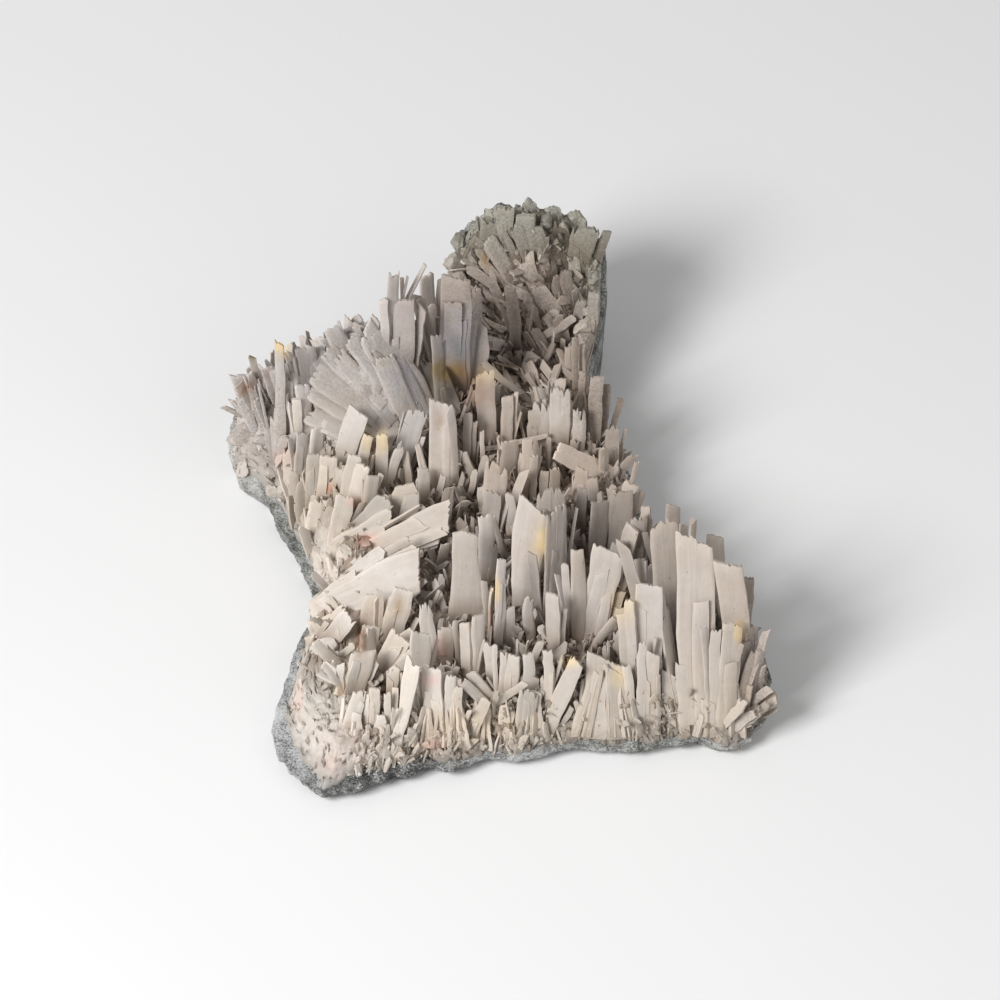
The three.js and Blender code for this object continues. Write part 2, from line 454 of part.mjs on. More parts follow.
function namedMesh(name, geometry, color) {
  geometry.translate(0, -MIDDLE.y, 0);
  const flat = geometry.toNonIndexed();
  flat.computeVertexNormals();
  const mesh = new THREE.Mesh(flat, new THREE.MeshStandardMaterial({ color, roughness: 0.9 }));
  mesh.name = name;
  return mesh;
}

const specimen = new THREE.Group();
specimen.name = "quartz_pseudomorph_specimen";
specimen.add(namedMesh("matrix", rockBody(), ROCK_GREY));
specimen.add(namedMesh("quartz_blades", quartzBody(), QUARTZ_CREAM));

export default specimen;
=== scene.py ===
"""Quartz pseudomorph specimen: the looks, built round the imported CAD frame.

The blades are set out on a sheet that leans back 45 degrees over the specimen, in millimetres: X is the
width and S the height up the sheet, so that y + z = SHEET_RISE * S, with y counted from the front edge.
"""

import functools
import math

import bpy
import numpy as np
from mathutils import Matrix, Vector


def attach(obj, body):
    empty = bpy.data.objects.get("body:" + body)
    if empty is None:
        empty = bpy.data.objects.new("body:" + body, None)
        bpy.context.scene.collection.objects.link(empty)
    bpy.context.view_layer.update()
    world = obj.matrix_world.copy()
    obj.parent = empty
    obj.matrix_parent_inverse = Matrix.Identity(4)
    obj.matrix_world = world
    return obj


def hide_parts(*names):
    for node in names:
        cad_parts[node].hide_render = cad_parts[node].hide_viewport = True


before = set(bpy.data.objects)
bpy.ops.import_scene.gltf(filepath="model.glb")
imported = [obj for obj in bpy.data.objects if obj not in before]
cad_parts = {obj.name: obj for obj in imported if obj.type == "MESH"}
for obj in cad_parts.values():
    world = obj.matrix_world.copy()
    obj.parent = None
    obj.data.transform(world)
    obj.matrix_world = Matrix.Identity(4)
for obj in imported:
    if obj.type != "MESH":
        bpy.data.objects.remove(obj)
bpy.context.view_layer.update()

MM = 0.001
SHEET_RISE = math.sqrt(2)
# Middle of the slab in plan, from which its rim is seen; its y is 0 in the frame.
MIDDLE = np.array([-5.0, 80.0])
ROCK_CORE_HEIGHT = 7
ROCK_EDGE_RUN = 15
CRUST_LIP = 1.3
CRUST_THICKNESS = 7
CRUST_EDGE_RUN = 7
FOOT_DEPTH = 3.2
FOOT_SINK = 1
FOOT_MARGIN = 2.5
FOOT_STEP = 0.25
EDGE_MARGIN = 0.4
FAR_BEHIND = 12
FRONT_END = -12
BACK_END = 170

# Plan of the slab, anticlockwise from the front left corner:
# [x, y, height of the rock at the rim, distance from the rim to the edge of the crust]
RIM = np.array([
    [-49, -5, 4, 3.5], [-43, -10.5, 4, 3], [-34, -8, 5, 2.5], [-26, -4.5, 5, 2], [-18, -1, 4, 1.5],
    [-11, -0.5, 4, 1.5], [-4, 2.8, 4, 1.5], [4, 1.6, 4, 1.5], [12, 4.4, 4, 1.5], [20, 6.5, 4, 1.5],
    [30, 5.2, 4, 1.5], [40, 6.6, 4, 1.5], [49, 9, 4, 1.5], [56, 5.4, 4, 1.5], [62, 8.5, 4, 1.5],
    [66.5, 16, 6, 2], [67, 26, 8, 2], [64.5, 35, 9, 2], [61, 43, 9, 2], [55.5, 51, 8, 2], [47, 59.5, 8, 2],
    [40, 67, 8, 2], [35.5, 75, 10, 2], [34.5, 85, 12, 2], [32, 95, 13, 2], [28, 106, 13, 2],
    [23.5, 116, 13, 2], [23.5, 128, 17, 2], [26.5, 141, 24, 2], [26.5, 153, 34, 2.5], [19, 160, 37, 1],
    [9, 162.5, 38, 1], [0, 162, 39, 1], [-8, 158.5, 35.5, 1], [-13.5, 150, 28, 1.5], [-16, 141, 20, 2],
    [-26, 136, 16, 2], [-38, 134, 14, 2], [-50, 130, 12, 2], [-61, 125, 10, 2], [-67, 116, 10, 2],
    [-69, 107, 9, 2], [-67, 99, 8, 2], [-60.5, 94, 7, 2], [-57, 86, 7, 2.5], [-54, 77, 6, 3],
    [-50, 68.5, 6, 2.5], [-47, 61, 6, 2], [-46, 53, 6, 2], [-49, 43, 6, 2.5], [-51.5, 33, 6, 3.5],
    [-54, 22, 6, 5], [-56.5, 12, 5, 6], [-54, 2, 4, 5],
])

# Rises of the rock under the crust: [x, y, reach in x, reach in y, height]
RISES = [
    [-34, 108, 19, 17, 31], [-62, 108, 10, 14, 8], [-38, 72, 16, 22, 6], [9, 156, 20, 17, 29],
    [5, 100, 28, 22, 6],
]

RIM_ANGLES = np.arctan2(RIM[:, 1] - MIDDLE[1], RIM[:, 0] - MIDDLE[0])
RIM_TURNS = (RIM_ANGLES - RIM_ANGLES[0]) % (2 * math.pi)


def smooth_step(low, high, value):
    t = np.clip((value - low) / (high - low), 0, 1)
    return t * t * (3 - 2 * t)


def spot(x, y, at_x, at_y, reach_x, reach_y, power=2):
    """1 at one place, falling to 0 beyond its reach; a power of 4 gives a flatter middle."""
    return np.exp(-((x - at_x) / reach_x) ** power - ((y - at_y) / reach_y) ** power)


def up_sheet(points):
    """Height up the sheet of points in millimetres."""
    return (points[:, 1] + points[:, 2]) / SHEET_RISE


def rim_along(x, y):
    """Reach, height and crust inset of the rim on the ray from the middle through each (x, y)."""
    angle = np.arctan2(y - MIDDLE[1], x - MIDDLE[0])
    turn = (angle - RIM_ANGLES[0]) % (2 * math.pi)
    start = np.clip(np.searchsorted(RIM_TURNS, turn, side="right") - 1, 0, len(RIM) - 1)
    a = RIM[start]
    b = RIM[(start + 1) % len(RIM)]
    ray_x, ray_y = np.cos(angle), np.sin(angle)
    step = b - a
    cross = ray_x * step[..., 1] - ray_y * step[..., 0]
    share = ((a[..., 0] - MIDDLE[0]) * ray_y - (a[..., 1] - MIDDLE[1]) * ray_x) / cross
    at = a + step * np.asarray(share)[..., None]
    return from_middle(at[..., 0], at[..., 1]), at[..., 2], at[..., 3]


def from_middle(x, y):
    return np.hypot(x - MIDDLE[0], y - MIDDLE[1])


def rock_height(x, y):
    reach, height, _ = rim_along(x, y)
    inside = reach - from_middle(x, y)
    core = ROCK_CORE_HEIGHT
    for *place, rise in RISES:
        core = core + rise * spot(x, y, *place)
    return height + (core - height) * smooth_step(0, ROCK_EDGE_RUN, inside)


def inside_crust(x, y):
    """How far each (x, y) is inside the edge of the crust."""
    reach, _, inset = rim_along(x, y)
    return reach - inset - from_middle(x, y)


def crust_height(x, y):
    cover = CRUST_LIP + (CRUST_THICKNESS - CRUST_LIP) * smooth_step(0, CRUST_EDGE_RUN, inside_crust(x, y))
    return rock_height(x, y) + cover


def foot_on_crust(x, s):
    """The first place, coming from the front, where the crust meets the sheet line (x, s)."""
    y = np.arange(FRONT_END, BACK_END, FOOT_STEP)
    xs = np.full_like(y, x)
    surface = crust_height(xs, y)
    inside = inside_crust(xs, y)
    target = SHEET_RISE * s
    reached = y + surface >= target
    sure = np.nonzero((inside >= FOOT_MARGIN) & reached & (y >= 0))[0]
    near = np.nonzero((inside >= EDGE_MARGIN) & reached)[0]
    first = near[0] if len(near) and (not len(sure) or y[near[0]] < y[sure[0]] - FAR_BEHIND) else sure[0]
    return np.array([x, y[first], max(target - y[first], surface[first] - FOOT_MARGIN) - FOOT_SINK])


# ---------------------------------------------------------------- blade tables
# [foot X, foot S, tip X, tip S, lean, width, thickness, turn in degrees, slant of the tip]
# lean is the share of the climb that goes backwards: 0 stands upright, 0.5 lies along the sheet.
def blade_rows(*rows):
    """A table of blades, with 0 for the turn and slant where a row leaves them out."""
    return [[*row, 0, 0][:9] for row in rows]


RIGHT_STAND = blade_rows(
    [48.7, 13.5, 47.5, 60.5, 0.36, 9.6, 2, -4, 0.25], [42, 30, 40.2, 63.5, 0.3, 7, 1.8, 10, -0.2],
    [42, 48, 43, 67, 0.2, 3.8, 1.5, 0, 0.2], [46, 38, 45.2, 62, 0.27, 2.6, 1.5, 15],
    [60, 24, 55.7, 53.3, 0.2, 7, 1.8, -6, 0.1], [55, 12, 57, 38, 0.3, 5.5, 1.8, -5, 0.3],
    [52.5, 13, 52.8, 36, 0.3, 2.8, 1.6, 20], [61.5, 22, 61.7, 37, 0.2, 4, 1.8, 25],
    [62.3, 19, 64.2, 31, 0.1, 3, 2.6, 40], [53, 38, 53.3, 59.5, 0.27, 4.6, 1.8, 20, 0.4],
    [60, 34, 60.8, 48.5, 0.1, 3.6, 2, 30], [57, 12, 64, 16.5, 0.1, 3, 1.6],
    [61, 14, 68.3, 19.5, 0, 3.6, 1.6, 0, 0.3], [62.4, 19.5, 63.8, 25.5, 0.2, 3, 2.4, 20],
    [59.5, 20, 60, 33, 0.25, 3.5, 1.7, 15, -0.3], [56.5, 34, 59, 44, 0.2, 3, 1.6, 20],
    [46.3, 47, 47.6, 63.3, 0.2, 1.1, 1.1], [60.5, 31, 60.9, 42.5, 0.1, 2.6, 2, 35],
    [57, 12, 64, 16, 0.1, 3, 1.6], [62, 12, 68.3, 19, 0.1, 4, 1.6, 0, 0.3], [63, 15, 65, 21, 0.2, 2, 1.5],
    [59.5, 13, 66, 17.8, 0, 2.2, 1.4], [55.5, 10.5, 62.6, 15.6, 0, 2.4, 1.4],
    [60.5, 17, 66.8, 22, 0, 2.2, 1.4], [54.5, 12.5, 60.5, 18.6, 0, 2.4, 1.4],
)
MIDDLE_STAND = blade_rows(
    [36, 21, 36.5, 47.5, 0.33, 8, 2, 0, 0.2], [34, 33, 34.5, 54, 0.27, 5, 1.7, -15, -0.3],
    [33, 20, 32, 44, 0.33, 2.8, 1.6, -25], [43.2, 11, 42.5, 26.5, 0.3, 6.5, 1.8, 8, 0.8],
    [37, 13, 37.5, 31, 0.3, 3.5, 1.6, 10, 0.3], [44.5, 19, 45, 27, 0.3, 3, 2.2],
    [22.5, 33, 27, 56, 0.3, 8, 1.8, 0, 0.2], [19.5, 33, 19.2, 55.5, 0.28, 4, 1.7, -10],
    [30, 48, 33, 62, 0.25, 4.3, 1.7, 0, 0.3], [29, 46, 29.5, 58, 0.25, 4, 1.7, 10],
    [29, 51, 30.5, 71, 0.25, 6.5, 1.8, 0, -0.2], [24, 50, 24.8, 67.8, 0.25, 5, 1.8, 10, 0.2],
    [34.5, 49, 34.3, 64, 0.25, 5, 2], [29.5, 29, 30, 36, 0.25, 4, 1.8], [39.5, 33, 39, 46, 0.27, 3, 1.6, 25],
    [37.3, 40, 37.3, 52, 0.25, 1.9, 1.5], [34.5, 13, 34.8, 33, 0.3, 2.3, 1.5, -10],
    [21.8, 30.5, 28.8, 38.7, 0.2, 2.2, 2.2], [35.5, 52, 36.3, 66.5, 0.2, 2.5, 2],
)
CENTRE = blade_rows(
    [5, 39, 8.3, 69, 0.33, 8.6, 2, 0, 0.75], [13, 38, 14, 66, 0.25, 5.5, 1.8, 12, 0.2],
    [15.5, 41, 15, 62, 0.3, 3, 1.7, 15], [-0.3, 31, 0.2, 53.5, 0.3, 2.7, 1.6],
    [-3.5, 47, -3.5, 64, 0.25, 4, 1.7, 10], [-8.5, 38, -8.7, 60.5, 0.3, 6.4, 1.8, 0, 0.2],
    [-8.5, 54, -9.5, 63.5, 0.2, 3, 1.6], [-5, 23, -5.5, 39.5, 0.3, 3.5, 1.7, 0, 0.2],
    [-8, 23, -8.5, 38, 0.3, 3, 1.6, -10, -0.2], [-17.5, 43, -3.5, 39.2, 1, 3.6, 1.8, 0, 0.2],
    [-16, 27, -18.5, 43, 0.3, 3.8, 1.7, 0, 0.3], [2.5, 19, 3, 30, 0.3, 4.2, 1.7, 0, 0.2],
    [7, 19, 6.8, 30, 0.3, 3.2, 1.7, 0, -0.2], [2, 32, 2, 41.3, 0.25, 4, 1.7],
    [7.5, 33, 6.8, 44, 0.25, 3, 1.7], [12, 17, 11.8, 31, 0.3, 2.6, 1.6, 10],
    [13.5, 29, 13, 45, 0.25, 4, 1.7, 0, 0.2], [13, 54, 12.5, 71, 0.25, 7.5, 1.8, 0, -0.3],
    [-2.6, 32, -2, 46, 0.3, 2.4, 1.4, 55], [-1.8, 47, -1.3, 56.8, 0.2, 1.9, 1.5],
    [-15.5, 51, -13.5, 57, 0.2, 2.4, 1.3, 40], [-13, 53, -12, 58.5, 0.2, 2, 1.3, -30],
    [-13, 27, -13.2, 36.7, 0.3, 3.3, 1.7, 10], [-2, 21, -2.8, 33, 0.3, 2.2, 1.5],
    [6.3, 25, 10.3, 33.2, 0.2, 1.9, 1.5], [15.5, 36, 15.3, 47.5, 0.2, 2, 1.5],
    [18, 34, 15.8, 52, 0.22, 1.9, 1.5, 20], [12.5, 48, 12.7, 65.5, 0.25, 8, 1.8, 0, 0.2],
    [20, 60, 20.5, 71, 0.2, 2.6, 1.6],
)
FRONT_FANS = blade_rows(
    [33.5, 12, 31, 27.5, 0.33, 2.4, 1.5, -30], [20.3, 11, 20.8, 24, 0.35, 2.6, 1.5, 35],
    [12, 12, 18.8, 29, 0.3, 4.5, 1.6, 0, 0.3], [6, 11, 7, 22, 0.3, 5, 1.6],
    [1, 10, 2, 18, 0.35, 4, 1.6, 10, 0.2], [-8, 9, -3.5, 19.5, 0.3, 3, 1.6],
    [-16, 12, -17, 27, 0.3, 5, 1.7, 0, 0.3], [-12.5, 11, -12, 25, 0.3, 3, 1.6],
    [-25.3, 6.5, -21, 29.3, 0.33, 4, 1.8, 12, 0.5], [-20.5, 20, -19.5, 36, 0.3, 5.5, 1.8, 0, 0.2],
    [-31, 12, -30.7, 22, 0.3, 2.8, 1.7], [-37.5, 12, -34.3, 21, 0.25, 3.5, 1.8, 20],
    [16.5, 10, 15, 19, 0.35, 3.5, 1.6, -15], [-2, 17, -9.5, 23.2, 0.1, 2.5, 1.6],
    [-2, 17.5, 6.2, 23.3, 0.1, 1.9, 1.5], [-1.5, 19, -7.5, 25.3, 0.1, 3, 1.6],
    [-10.8, 11, -10.3, 22, 0.3, 2.5, 1.5], [-28, 8, -27.7, 13, 0.3, 2, 1.5],
    [-27.3, 12, -27.6, 20.8, 0.3, 1.7, 1.5], [47, 12, 47.5, 19, 0.3, 3, 1.6, -10],
    [10, 9, 9.5, 16, 0.35, 3, 1.6, -12],
)
LEFT_SLOPE = blade_rows(
    [-43, 41.7, -18.2, 51.2, 0.12, 12, 2.4, 0, 0.2], [-31, 56, -11, 65, 0.1, 8, 2, 0, 0.3],
    [-36, 60, -27.5, 68.8, 0.2, 5, 1.7], [-25, 60, -22.5, 73, 0.25, 7, 1.8],
    [-42, 53, -28, 60.5, 0.1, 8, 1.8], [-27, 33, -24, 46, 0.25, 6, 1.8],
    [-33, 35, -31.3, 44.5, 0.25, 4, 1.6], [-34, 27, -31.5, 37, 0.2, 4.5, 1.8, -10],
    [-36, 20, -33.5, 31, 0.25, 6, 1.8], [-29, 25, -23.5, 34.5, 0.2, 7, 1.8],
    [-27, 19, -25.5, 27.5, 0.3, 3, 1.6, 10], [-38.5, 26, -46.2, 33, 0.1, 2.6, 1.6],
    [-43, 33, -37, 39, 0.2, 5, 1.7], [-43.5, 56, -41.3, 66.5, 0.25, 4, 1.6],
    [-41, 57, -38.3, 69.5, 0.25, 5, 1.6, 0, 0.3], [-37, 65, -34, 77, 0.25, 4, 1.6],
    [-39, 66, -36, 79, 0.25, 4, 1.6, 10], [-33, 63, -31.5, 74, 0.25, 3.5, 1.6],
    [-46.5, 58, -46, 68, 0.25, 4, 1.6], [-49.5, 61, -48.7, 73, 0.2, 4, 1.6, 10],
    [-52, 64, -51.2, 75, 0.15, 2.6, 1.6], [-47, 69, -46.3, 79.5, 0.2, 4, 1.6],
    [-43.5, 69, -42.8, 79, 0.2, 4.5, 1.6, -10], [-53, 71, -52.6, 80.5, 0.2, 3, 1.6],
    [-40.5, 75, -35, 90.5, 0.28, 6, 1.8, 0, 0.2], [-46.5, 78, -45, 86, 0.25, 4, 2, 20],
    [-37, 50, -28, 55.5, 0.1, 3.5, 1.6], [-37, 20, -43.5, 27.3, 0.1, 1.7, 1.5],
    [-50, 74, -49.4, 84.5, 0.2, 3.5, 1.6, 10],
)
MIDDLE_BACK = blade_rows(
    [-25.5, 75, -20.5, 90, 0.25, 5, 1.7], [-15, 69, -15, 93, 0.28, 5.8, 1.8, 0, 0.1],
    [-11, 69, -12.2, 91, 0.28, 2.2, 1.7], [-30, 70, -29.3, 84.8, 0.25, 3.2, 1.6],
    [-35.5, 70, -33, 84.3, 0.25, 3, 1.6], [-8.3, 76, -8, 89.7, 0.25, 2.3, 1.6],
    [-3.3, 81, -3.7, 100, 0.2, 5, 1.7, 0, -0.2], [-2, 62, -0.5, 77.5, 0.25, 6, 1.8, 0, 0.3],
    [-3, 58, -1.5, 70, 0.25, 4.5, 1.7], [1.5, 73, 2.5, 82.5, 0.2, 5, 1.7],
    [-19, 66, -19.5, 76, 0.25, 3, 1.6, 10], [11, 81, 10, 92, 0.2, 4, 1.7],
    [15, 80, 15, 97, 0.2, 5.5, 1.8, 0, 0.3], [19.8, 79, 19.5, 90, 0.2, 3.6, 1.7],
    [21, 84, 21.5, 95, 0.15, 4.5, 1.7, 0, 0.2], [23.5, 82, 24.2, 98.3, 0.15, 3.5, 1.8],
    [25, 82, 26, 97, 0.15, 3.5, 1.8], [28, 76, 28.2, 86.5, 0.15, 3.5, 1.7],
    [30.5, 73, 14, 80.3, -0.3, 5, 1.7], [6, 67, 6.8, 83.3, 0.25, 2.8, 1.6],
    [19, 66, 20.5, 76, 0.2, 3.5, 1.7], [1.5, 80, 1.8, 93.5, 0.2, 3, 1.6],
    [10.5, 91, -4.7, 102.3, 0.1, 1.8, 1.8], [8, 81, 8.3, 90.5, 0.2, 3, 1.6],
    [29.5, 62, 33, 72, 0.15, 4, 1.8, 10], [-22.3, 70, -23.5, 80.3, 0.25, 2, 1.5],
    [-29, 70, -25, 81, 0.25, 2.5, 1.6], [-5.5, 72, -9.3, 79.8, 0.2, 2.2, 1.5],
    [-8.3, 68, -5.8, 75.5, 0.2, 1.7, 1.4], [-16.3, 66, -14, 74, 0.2, 1.7, 1.4],
    [3, 59, 2.5, 69.8, 0.2, 2.6, 1.6], [11, 86, 10.5, 95.8, 0.15, 2.8, 1.6],
    [15.5, 88, 15.2, 98.2, 0.15, 2.8, 1.6], [17.5, 80, 17.3, 93, 0.2, 1.7, 1.5],
    [20, 86, 20.8, 99.8, 0.15, 1.8, 1.5], [18.8, 78, 18.6, 83.2, 0.2, 2.2, 1.6],
    [26, 75, 25.8, 81.2, 0.2, 2.6, 1.6], [9, 73, 9.2, 82.3, 0.2, 2.2, 1.6],
    [8, 67, 8.6, 78.6, 0.2, 1.9, 1.5], [11, 68, 11, 75, 0.2, 2.3, 1.5], [13.5, 68, 13.5, 75.7, 0.2, 3, 1.6],
    [24, 65, 22.8, 73.5, 0.2, 3, 1.6],
)
LEFT_LOBE = blade_rows(
    [-55, 76, -54.5, 107.2, 0.12, 2.6, 1.7, 0, 0.4], [-54.8, 80, -54.6, 90.5, 0.15, 4.2, 1.8, 0, 0.2],
    [-59.5, 92, -62.3, 104.3, 0.15, 2, 1.6, 0, 0.3], [-62, 90, -66.3, 99.6, 0.15, 4.5, 2, 15, 0.3],
    [-59.5, 90, -63.2, 99.2, 0.15, 3, 1.7, 10], [-55.5, 92, -58.5, 101, 0.15, 3.6, 1.7, 10, 0.2],
    [-54, 92, -56.5, 100.3, 0.15, 2.6, 1.6], [-60.5, 83.5, -65.3, 93.6, 0.15, 2.4, 1.6, 10],
    [-59, 85, -62.5, 96, 0.15, 2.2, 1.6], [-57.5, 84, -61, 93, 0.15, 1.8, 1.5],
    [-52.5, 84, -52.8, 97.5, 0.15, 2.6, 1.6, 10], [-50.5, 82, -51, 93, 0.15, 2.4, 1.6],
    [-49, 84, -49.3, 97, 0.2, 4, 1.7, 0, 0.2], [-47, 94, -48.5, 106, 0.2, 5, 1.8],
    [-57, 80, -58.4, 86, 0.15, 2.2, 1.6], [-52, 77, -52.6, 84, 0.15, 1.8, 1.5],
)
TALL_BEHIND_MOUND = blade_rows(
    [-26.8, 105.5, -26.3, 124.5, 0.12, 2.8, 1.7], [-28.5, 105, -28.8, 118.2, 0.12, 2.3, 1.6],
    [-24.3, 102, -23.8, 117.2, 0.15, 5.5, 1.7], [-29, 106.5, -18.8, 126.6, 0.3, 1.2, 1.2],
    [-18.3, 106, -18, 124.8, 0.12, 4, 1.8, 15], [-11, 95, -10.9, 124.5, 0.15, 8, 2],
    [-14.5, 91, -16, 109, 0.15, 3, 1.7, 20], [-14, 108, -14.5, 124.2, 0.12, 4, 1.7],
    [-19.8, 104, -19.5, 117.6, 0.12, 1.9, 1.6], [-17, 102, -17, 117, 0.12, 2.6, 1.6, 30],
    [-5.6, 100, -5.8, 120.3, 0.12, 2.4, 1.7, 10], [-8.6, 94.5, -10, 116, 0.24, 13, 1.7, 0, 0.2],
)
BACK_LOBE = blade_rows(
    [3.5, 123, -3.3, 134, 0.3, 4.6, 1.8], [10, 121, 5.8, 128.3, 0.3, 4, 1.8],
    [14.5, 114.5, 9, 122, 0.3, 5, 1.8], [4.5, 106.5, 2.8, 122.5, 0.15, 3.2, 1.7],
    [1, 117, -3, 123.8, 0.2, 2.5, 1.6], [18.5, 117, 16, 126, 0.2, 3.5, 1.7],
    [15.5, 117.5, 13.8, 124.5, 0.2, 2.2, 1.6], [7, 128.5, 4.5, 136.8, 0.2, 3.5, 1.8],
    [11, 130, 8, 137.6, 0.2, 4.5, 2], [1.5, 133, 1.5, 141.8, 0.1, 4.5, 3, 0, 0.3],
    [6.5, 133, 6.5, 140, 0.1, 5, 3], [-3.5, 131, -2.2, 139, 0.15, 5, 2.8, 0, 0.2],
    [20.5, 130, 21.5, 137.3, 0.15, 7, 3], [23, 111, 24, 120, 0.2, 3, 2],
    [-3, 110.5, 4.5, 111.7, 0, 2.6, 1.7], [8.8, 108.5, 19, 113.8, 0.2, 2.2, 1.6],
    [19, 110, 21, 118.5, 0.2, 3, 1.7], [20.7, 96, 20.6, 107, 0.2, 1.7, 1.5],
    [17, 96, 17.3, 106.5, 0.2, 1.7, 1.5], [19, 96, 19, 108.5, 0.2, 1.7, 1.5],
    [12.5, 105, 8.5, 111, 0.3, 2.6, 1.6], [16.5, 108, 11.5, 114.6, 0.3, 2.4, 1.6],
    [20.5, 121, 18, 129.5, 0.3, 3, 1.8], [0.5, 124, -5, 128.6, 0.3, 2.4, 1.6],
    [7.5, 112, 7, 120, 0.3, 2.4, 1.6], [12, 124, 10.5, 131.5, 0.3, 2.6, 1.7],
)

# Plates of the front band that widen to their feet: the width is the one at the foot.
BUTTRESSES = blade_rows(
    [26, 12, 26.3, 30.6, 0.38, 17, 2.2, 0, 0.42], [44.5, 12, 43.5, 27, 0.4, 13, 2, 0, 0.95],
    [8, 11, 8.3, 21.5, 0.36, 7, 1.7, 0, 0.3], [12, 9.5, 12, 15.5, 0.36, 5, 1.5],
    [-5, 9, -4, 18.5, 0.36, 6, 1.6, -10, 0.2], [2, 8, 2, 17, 0.36, 6, 1.5, 0, -0.3],
    [-14.5, 10, -14.5, 25.5, 0.36, 4.5, 1.6], [-18.8, 10, -17.5, 21, 0.36, 4, 1.5, 10],
    [-10.5, 10, -11, 25, 0.36, 5, 1.6, 0, 0.4], [37, 11, 37, 17, 0.36, 5, 1.5],
    [51, 12, 50.5, 19, 0.33, 5, 1.5], [56, 12, 57, 23, 0.33, 7, 1.8, 0, -0.3],
    [-30, 8, -29, 15, 0.36, 4, 1.5], [-35.5, 8, -35, 16, 0.36, 4, 1.5, 0, 0.3],
)

# Sheets of the mound, which run up to the left over it.
MOUND_SHEETS = blade_rows(
    [-33.5, 88, -47.8, 95, 0.38, 5.5, 1.8, 4, 0.2], [-33, 91.5, -46.5, 99.8, 0.35, 7, 1.8, 4, 0.15],
    [-35, 98, -43.5, 105.5, 0.36, 5.5, 1.8, 4, 0.1], [-27, 101, -34.5, 111.8, 0.25, 6.5, 2, 4, -0.3],
    [-30.5, 99.5, -37, 108, 0.3, 4.5, 1.8, 6], [-26.5, 87, -33.6, 97, 0.33, 5, 1.8, 4, 0.2],
    [-22.5, 88, -29.5, 103.6, 0.28, 6, 2, 4, 0.25], [-17.5, 92.5, -25.3, 104.8, 0.38, 2.4, 1.4, 40],
    [-16.5, 91.5, -23.8, 104, 0.38, 2.4, 1.4, 40], [-15.3, 91.5, -22.4, 103.3, 0.38, 2.2, 1.3, 35],
    [-14, 91, -20.8, 102.8, 0.4, 3, 1.4, 30], [-11.5, 88, -18.6, 103, 0.4, 4.5, 1.6, 20, 0.3],
    [-10.8, 90, -15.5, 101.5, 0.36, 3.5, 1.6, 10, 0.3], [-38, 104, -42, 111, 0.36, 5, 1.8],
    [-44, 92, -49.5, 99.5, 0.4, 4.5, 1.8], [-42, 101, -48.5, 106.5, 0.38, 5, 1.8, 0, 0.3],
    [-19.5, 90.5, -25.8, 103.5, 0.3, 4.5, 1.8, 14], [-29, 85.5, -40.5, 91.5, 0.38, 5, 1.8],
    [-38.5, 86, -49, 89.5, 0.4, 5, 1.8, 0, 0.2], [-31, 94.5, -41, 104, 0.33, 4.5, 1.8, 6],
    [-20.5, 96, -27.5, 109, 0.24, 4.5, 1.8, 10, 0.2], [-17.5, 87.5, -24, 97, 0.34, 3.5, 1.6, 14, 0.2],
    [-28.5, 90.5, -37.5, 99.5, 0.34, 4.5, 1.8, 4, 0.3], [-24, 98, -31, 109.5, 0.24, 5, 1.8, 6, 0.2],
    [-37, 84, -45, 86.5, 0.4, 4, 1.6], [-25, 93, -32, 105.5, 0.28, 3.5, 1.6, 12, 0.3],
)

# Thin laths lying between the slabs at the left.
LEFT_LATHS = blade_rows(
    [-32.5, 35.5, -31.5, 43.8, 0.3, 5, 1.6, -10, 0.1], [-30, 33.8, -23.4, 43.6, 0.3, 7.5, 1.6, 0, 0.3],
    [-29.3, 27.5, -20.3, 34.6, 0.3, 6, 1.5, 0, 0.3], [-28.5, 24, -20, 31.5, 0.2, 2.6, 1.4],
    [-31.5, 24.5, -33.2, 35.6, 0.25, 5, 1.7, 15], [-36, 26.8, -46.2, 31.9, 0.5, 1.7, 1.2],
    [-35.3, 22, -43.5, 27.6, 0.5, 1.5, 1.2], [-41.5, 28.6, -35.8, 31.9, 0.4, 1.8, 1.2],
    [-45, 34.6, -35.5, 38, 0.4, 2.8, 1.3, 0, 0.3], [-44, 25.5, -40.5, 31, 0.4, 2, 1.2],
    [-36.5, 22.6, -32.3, 25.2, 0.2, 3.6, 1.6], [-40, 19.8, -36, 26.2, 0.3, 2.6, 1.3],
    [-43.5, 37.5, -38, 41, 0.35, 3.4, 1.3, 0, 0.2], [-37.5, 47.8, -20.5, 56.5, 0.1, 2, 1.4],
    [-35, 46.8, -19, 54.8, 0.1, 1.8, 1.3], [-36.5, 50.2, -22.5, 58.4, 0.1, 2.2, 1.4],
    [-39, 57.8, -26.2, 64.4, 0.1, 4.6, 1.5, 0, 0.3],
)

# Smooth swellings of the crust at the roots of the left slabs: [X, S, size]
SWELLINGS = [
    [-43.8, 46, 8], [-43.5, 50.5, 8], [-41.5, 55, 7.5], [-45, 41, 7.5], [-44.5, 36, 6], [-43.5, 31, 6],
    [-42, 59, 6], [-38.5, 54.5, 5],
]

ONE_STRIP = 20


def whole(**looks):
    """Looks of a blade that is one broad strip with nothing grown on it."""
    return dict(strip=ONE_STRIP, extras=False, **looks)


